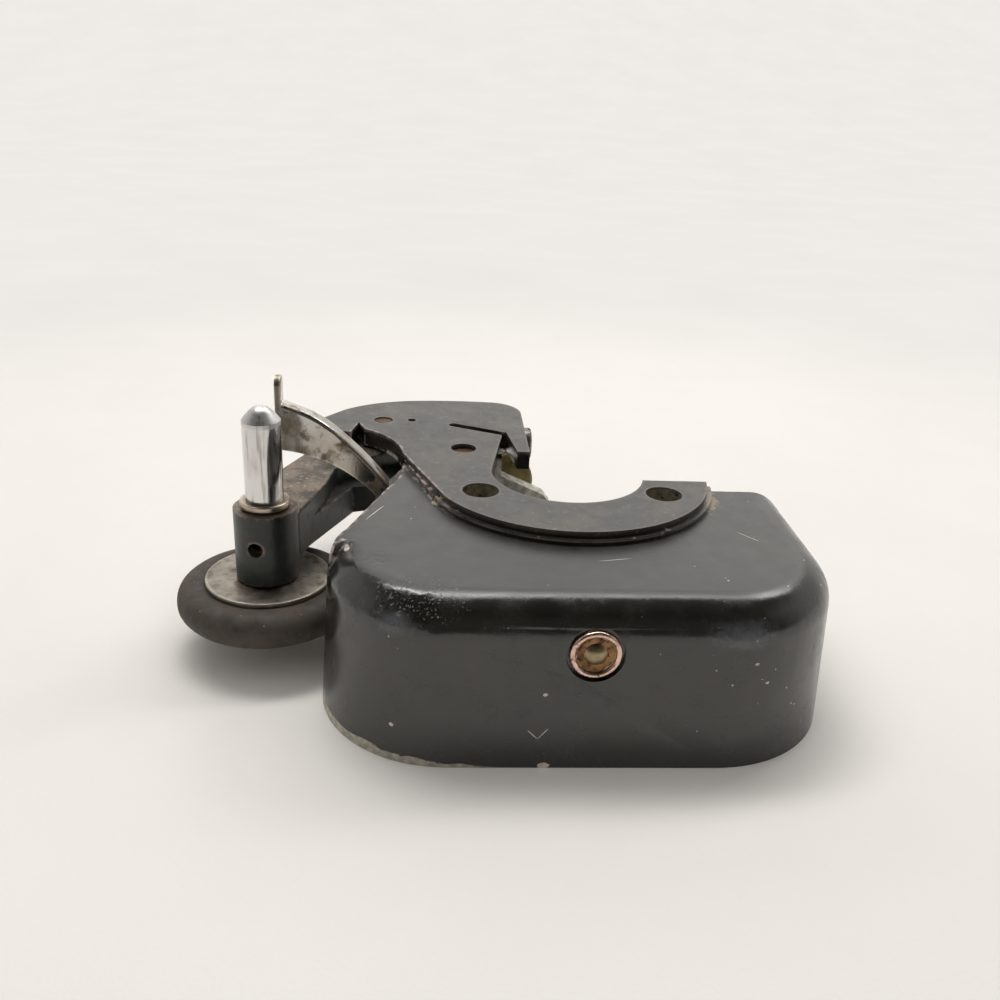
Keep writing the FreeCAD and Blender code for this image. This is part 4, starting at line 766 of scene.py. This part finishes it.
class WINDER_OT_spindle(Step):
    """Turn the spindle with its rounded cone and thread, and its collar"""
    bl_idname = "winder.spindle"
    bl_label = "Spindle"

    def execute(self, context):
        form = context.scene.winder_form
        low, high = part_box("spindle")
        axis = middle_of("spindle")
        seat = (high.x - low.x) / 2
        collar_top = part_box("spindle_collar")[1].z
        wheel_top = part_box("upper_disc")[1].z
        wheel_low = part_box("lower_disc")[0].z
        journal, wheel_seat, screw = 2.5 * MM, 2.2 * MM, 2.0 * MM
        slope, tip = math.radians(50), 1.9 * MM
        point, run_out, overlap = 0.3 * MM, 0.2 * MM, 0.4 * MM
        cap = tip / math.sin(slope)
        cap_z = high.z - cap * (1 - math.cos(slope))
        cone_z = cap_z - (seat - tip) * math.tan(slope)
        seat_end = wheel_low + overlap
        thread = np.linspace(low.z + point, seat_end - run_out, 60)
        shaft = softened_profile([
            (screw, thread[-1]), (screw, seat_end), (wheel_seat, seat_end), (wheel_seat, wheel_top),
            (journal, wheel_top), (journal, collar_top), (seat, collar_top), (seat, cone_z),
            (tip, cap_z)], form.turned_round)
        screw_part = np.stack([np.full_like(thread, screw), thread], axis=1)
        dome = arc_profile((0, high.z - cap), cap, 90 - math.degrees(slope), 90, 14)
        profile = np.vstack([[(0, low.z), (screw - point, low.z)], screw_part, shaft[1:], dome[1:]])

        def helix(angle, height, radius):
            """A saw of the thread's depth that climbs one pitch a turn, on the threaded end."""
            turn = (height / form.thread_pitch - angle / (2 * math.pi)) % 1
            cut = form.thread_depth * (np.abs(2 * turn - 1) - 1)
            inside = (height > low.z + 0.1 * MM) & (height < thread[-1] + 0.1 * MM)
            return np.where(inside & (np.abs(radius - screw) < 0.01 * MM), cut, 0)

        piece = lathe("turned_spindle", profile, (axis.x, axis.y, 0), form.segments, wave=helix)
        settle(piece, spindle_steel(), "spindle_wheel", "spindle_steel", "spindle")
        collar = ring("turned_collar", "spindle_collar", form.segments, 0.3 * MM, journal)
        worn = aged_metal("collar_metal", tone(172, 160, 144), tone(76, 64, 52), 0.38, 0.24, bright_edge=0.7)
        settle(collar, worn, "spindle_wheel", "collar_metal", "spindle_collar")
        return {"FINISHED"}


class WINDER_OT_wheel(Step):
    """Turn the friction wheel: discs, hub, rubber tyre, washer and nut"""
    bl_idname = "winder.wheel"
    bl_label = "Friction Wheel"

    def execute(self, context):
        form, metal = context.scene.winder_form, context.scene.winder_metal
        steel = aged_metal("disc_steel", tuple(metal.steel), tone(92, 74, 58), 0.52, 0.34,
                           grain=(6, 6, 1), bright_edge=0.8)
        bore = 2.2 * MM
        for node in ("upper_disc", "lower_disc"):
            piece = ring("turned_" + node, node, form.segments, 0.25 * MM, bore)
            settle(piece, steel, "spindle_wheel", "disc_steel", node)
        washer = ring("turned_wheel_washer", "wheel_washer", form.segments, form.turned_round, 2.0 * MM)
        settle(washer, steel, "spindle_wheel", "disc_steel", "wheel_washer")
        nut = softened("wheel_nut", form.screw_round)
        settle(nut, steel, "spindle_wheel", "disc_steel", "wheel_nut")
        put_on(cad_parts["wheel_hub"], steel)

        low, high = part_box("tyre")
        centre = middle_of("tyre")
        outer, half = (high.x - low.x) / 2, (high.z - low.z) / 2
        disc_low, disc_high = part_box("upper_disc")
        lip = (disc_high.x - disc_low.x) / 2 + 0.1 * MM
        crown, seat, slot_half = 12.0 * MM, 7.3 * MM, 2.7 * MM
        fullness = 2 / 2.15
        edge, edge_drop = 0.25 * MM, 0.08 * MM
        angle = np.linspace(-math.pi / 2, math.pi / 2, 40)
        shape = np.abs(np.cos(angle)) ** fullness
        tread_x = crown + (outer - crown) * shape
        tread_z = half * np.sign(np.sin(angle)) * np.abs(np.sin(angle)) ** fullness
        profile = np.vstack([
            [(seat, 0), (seat, -slot_half), (lip, -slot_half), (lip, -half + edge),
             (lip + edge, -half + edge_drop)],
            np.stack([tread_x, tread_z], axis=1),
            [(lip + edge, half - edge_drop), (lip, half - edge), (lip, slot_half),
             (seat, slot_half), (seat, 0)]])

        def worn(angle, height, radius):
            """The tread is worn unevenly: slow waves round the wheel, within a tenth of a millimetre."""
            share = np.clip((radius - crown) / (outer - crown), 0, 1)
            return -share * 0.05 * MM * (1 + np.sin(3 * angle) * np.cos(7 * angle))

        tyre = lathe("turned_tyre", profile, centre, form.segments, wave=worn)
        settle(tyre, tyre_rubber(metal), "spindle_wheel", "tyre_rubber", "tyre")
        return {"FINISHED"}


class WINDER_OT_screws(Step):
    """Dress the pivots, screws, washers and the leaf spring"""
    bl_idname = "winder.screws"
    bl_label = "Pivots and Screws"

    def execute(self, context):
        form, metal = context.scene.winder_form, context.scene.winder_metal
        pins = aged_metal("pin_ends", tuple(metal.rust), tone(52, 38, 30), 0.5, 0.42, size=1.6)
        steel = aged_metal("dark_steel", tone(128, 124, 118), tone(58, 48, 40), 0.55, 0.30)
        for node, material in (("arm_pivot", pins), ("latch_pivot", pins), ("side_screw", steel),
                               ("spring_screw", steel), ("friction_leaf", steel)):
            piece = softened(node, form.screw_round)
            settle(piece, material, "guard", "dark_steel", node)
        for node in ("arm_thrust_washer", "latch_washer"):
            put_on(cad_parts[node], steel)
        return {"FINISHED"}


class WINDER_OT_stud(Step):
    """Turn the rolled ferrule and the domed stud in the front wall"""
    bl_idname = "winder.stud"
    bl_label = "Front Stud"

    def execute(self, context):
        form, metal = context.scene.winder_form, context.scene.winder_metal
        low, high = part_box("stud_ferrule")
        centre = middle_of("stud_ferrule")
        flange = (high.x - low.x) / 2
        seat_y = low.y + 0.9 * MM
        tube, bore, back = 2.5 * MM, 1.65 * MM, high.y - seat_y
        roll_r = 0.45 * MM
        roll = arc_profile((flange - roll_r, roll_r), roll_r, -90, 180, 18)
        ferrule = np.vstack([[(bore, -back / 2), (bore, -back), (tube, -back), (tube, 0)], roll,
                             [(2.75 * MM, 0.38 * MM), (bore, 0.33 * MM), (bore, -back / 2)]])
        place, outwards = (centre.x, seat_y, centre.z), (0, -1, 0)
        piece = lathe("turned_ferrule", ferrule, place, form.segments, axis=outwards)
        brass = rolled_brass(metal, place, flange - 0.75 * MM)
        settle(piece, brass, "guard", "ferrule_brass", "stud_ferrule")
        stud_low, stud_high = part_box("guard_stud")
        top = seat_y - stud_low.y
        end = seat_y - stud_high.y
        clinch = (stud_high.x - stud_low.x) / 2
        rise = top - roll_r
        dome_r = (bore ** 2 + rise ** 2) / (2 * rise)
        start = math.degrees(math.asin((dome_r - rise) / dome_r))
        dome = arc_profile((0, top - dome_r), dome_r, start, 90, 14)
        head = end + 0.9 * MM
        stud = np.vstack([[(0, end), (clinch - 0.4 * MM, end), (clinch, head), (bore, head)], dome])
        piece = lathe("turned_stud", stud, place, form.segments, axis=outwards)
        dull = aged_metal("stud_metal", tone(150, 136, 108), tone(74, 58, 42), 0.36, 0.22, size=1.2)
        settle(piece, dull, "guard", "ferrule_brass", "guard_stud")
        put_on(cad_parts["stud_washer"], brass)
        return {"FINISHED"}


# Stage

# A lamp's name, place, target, size and power, then the long side of an oblong one and whether
# shiny surfaces show it. Lengths are in metres and powers in watts.
LAMPS = (
    ("back_strip", (-0.06, 0.20, 0.52), (0.0, -0.01, 0.0), 0.10, 1.35, 0.60, True),
    ("key", (-0.10, 0.18, 0.55), (-0.01, 0.0, -0.01), 0.22, 0.70, None, True),
    ("right_back", (0.30, 0.24, 0.42), (0.02, 0.0, -0.01), 0.14, 0.50, None, True),
    ("window", (0.0, 0.80, 0.50), (0.0, 0.0, 0.0), 0.55, 1.40, 1.30, True),
    ("fill", (-0.06, -0.22, 0.52), (-0.02, 0.0, 0.0), 0.85, 1.55, None, False),
)
LAMP_COLOUR = (1.0, 0.980, 0.955)
ROOM_COLOUR = (1.0, 0.975, 0.94)
ROOM_SEEN = 0.855

# The photograph's camera, fitted to the part's round holes and edges
CAMERA_PLACE = (-24.41, -154.25, 65.55)
CAMERA_YAW, CAMERA_PITCH, CAMERA_ROLL = -4.5, 23.5, 3.0


def link(thing):
    """Add an object to the scene."""
    bpy.context.scene.collection.objects.link(thing)
    return thing


def floor_sheet():
    """A square sheet of points (x, y, z): z lies a little under the object, and past the line
    where the bend starts it rises with the square of the distance from that line."""
    half, count = 3.0, 97
    drop, bend_start, bend_long, bend_high = 0.05 * MM, 0.9, 1.6, 0.9
    line = np.linspace(-half, half, count)
    across, along = np.meshgrid(line, line, indexing="ij")
    level = CAD_BOX[0].z - drop + bend_high * np.clip((along - bend_start) / bend_long, 0, None) ** 2
    points = np.stack([across, along, level], axis=-1).reshape(-1, 3)
    first = np.arange(count - 1)[:, None] * count + np.arange(count - 1)[None, :]
    quads = np.stack([first, first + count, first + count + 1, first + 1], axis=-1).reshape(-1, 4)
    mesh = bpy.data.meshes.new("floor")
    mesh.from_pydata(points, [], quads)
    mesh.shade_smooth()
    return link(bpy.data.objects.new("floor", mesh))


def soft_room(world):
    """The room's light: bright low down and at the back, dark overhead and at the front. The
    camera sees one plain tone in its place."""
    world.use_nodes = True
    room = Nodes(world.node_tree)
    parts = room.add("ShaderNodeSeparateXYZ")
    room.feed(parts.inputs[0], room.add("ShaderNodeTexCoord").outputs["Generated"])
    upwards = room.mix(room.ramp(parts.outputs[2], 0.50, 0.82), 0.60, 0.06)
    backwards = room.mix(room.ramp(parts.outputs[1], -0.55, 0.05), 0.16, 1.0)
    camera_ray = room.add("ShaderNodeLightPath").outputs["Is Camera Ray"]
    sky = room.tree.nodes["Background"]
    room.feed(sky.inputs["Color"], ROOM_COLOUR)
    room.feed(sky.inputs["Strength"], room.mix(camera_ray, room.both(upwards, backwards), ROOM_SEEN))


def lamp(name, place, target, size, power, long_side, mirrored):
    """A soft area lamp at a place, turned to a target."""
    data = bpy.data.lights.new(name, "AREA")
    data.energy = power
    data.color = LAMP_COLOUR
    data.size = size
    if long_side:
        data.shape = "RECTANGLE"
        data.size, data.size_y = long_side, size
    piece = link(bpy.data.objects.new(name, data))
    piece.location = place
    piece.visible_camera = False
    piece.visible_glossy = mirrored
    piece.rotation_euler = (Vector(target) - Vector(place)).to_track_quat("-Z", "Y").to_euler()


def photograph_camera(focal):
    """A camera at its place, turned by yaw, then pitched down, then rolled."""
    yaw, pitch, roll = (math.radians(angle) for angle in (CAMERA_YAW, CAMERA_PITCH, CAMERA_ROLL))
    forward = Vector((-math.sin(yaw) * math.cos(pitch), math.cos(yaw) * math.cos(pitch),
                      -math.sin(pitch)))
    right = Vector((math.cos(yaw), math.sin(yaw), 0))
    up = right.cross(forward)
    side = math.cos(roll) * right + math.sin(roll) * up
    head = -math.sin(roll) * right + math.cos(roll) * up
    place = Vector(CAMERA_PLACE) * MM
    data = bpy.data.cameras.new("camera")
    data.lens = focal
    data.sensor_width = 36
    data.clip_start = 0.01
    camera = link(bpy.data.objects.new("camera", data))
    camera.matrix_world = Matrix((
        (side.x, head.x, -forward.x, place.x),
        (side.y, head.y, -forward.y, place.y),
        (side.z, head.z, -forward.z, place.z),
        (0, 0, 0, 1)))
    return camera


class WINDER_OT_stage(Step):
    """Lay the pale floor, set the lamps and place the camera"""
    bl_idname = "winder.stage"
    bl_label = "Stage and Camera"

    def execute(self, context):
        scene, stage = context.scene, context.scene.winder_stage
        floor = floor_sheet()
        put_on(floor, floor_cloth(stage))
        scene.world = bpy.data.worlds.new("studio")
        soft_room(scene.world)
        for name, place, target, size, power, long_side, mirrored in LAMPS:
            lamp(name, place, target, size, power * stage.lamp_power, long_side, mirrored)
        scene.camera = photograph_camera(stage.focal)
        scene.view_settings.view_transform = "Standard"
        return {"FINISHED"}


# Panel and registration

PIECES = (WINDER_OT_guard, WINDER_OT_arm, WINDER_OT_latch, WINDER_OT_spindle, WINDER_OT_wheel,
          WINDER_OT_screws, WINDER_OT_stud, WINDER_OT_stage)


class WINDER_PT_panel(bpy.types.Panel):
    """Lists the settings and the steps of the bobbin winder"""
    bl_label = "Bobbin Winder"
    bl_idname = "WINDER_PT_panel"
    bl_space_type = "VIEW_3D"
    bl_region_type = "UI"
    bl_category = "Winder"

    def draw(self, context):
        layout = self.layout
        for group in (context.scene.winder_form, context.scene.winder_enamel,
                      context.scene.winder_metal, context.scene.winder_stage):
            box = layout.box()
            for name in group.__annotations__:
                box.prop(group, name)
        for operator in PIECES:
            layout.operator(operator.bl_idname)


GROUPS = {"winder_form": WinderForm, "winder_enamel": WinderEnamel,
          "winder_metal": WinderMetal, "winder_stage": WinderStage}


def register():
    """Add the settings, the steps and the panel."""
    for name, group in GROUPS.items():
        bpy.utils.register_class(group)
        setattr(bpy.types.Scene, name, PointerProperty(type=group))
    for operator in PIECES:
        bpy.utils.register_class(operator)
    bpy.utils.register_class(WINDER_PT_panel)


def unregister():
    """Take them out again."""
    bpy.utils.unregister_class(WINDER_PT_panel)
    for operator in reversed(PIECES):
        bpy.utils.unregister_class(operator)
    for name, group in GROUPS.items():
        delattr(bpy.types.Scene, name)
        bpy.utils.unregister_class(group)


def main():
    """Register, and make every piece and the stage."""
    register()
    bpy.ops.winder.guard()
    bpy.ops.winder.arm()
    bpy.ops.winder.latch()
    bpy.ops.winder.spindle()
    bpy.ops.winder.wheel()
    bpy.ops.winder.screws()
    bpy.ops.winder.stud()
    bpy.ops.winder.stage()


if __name__ == "__main__":
    main()
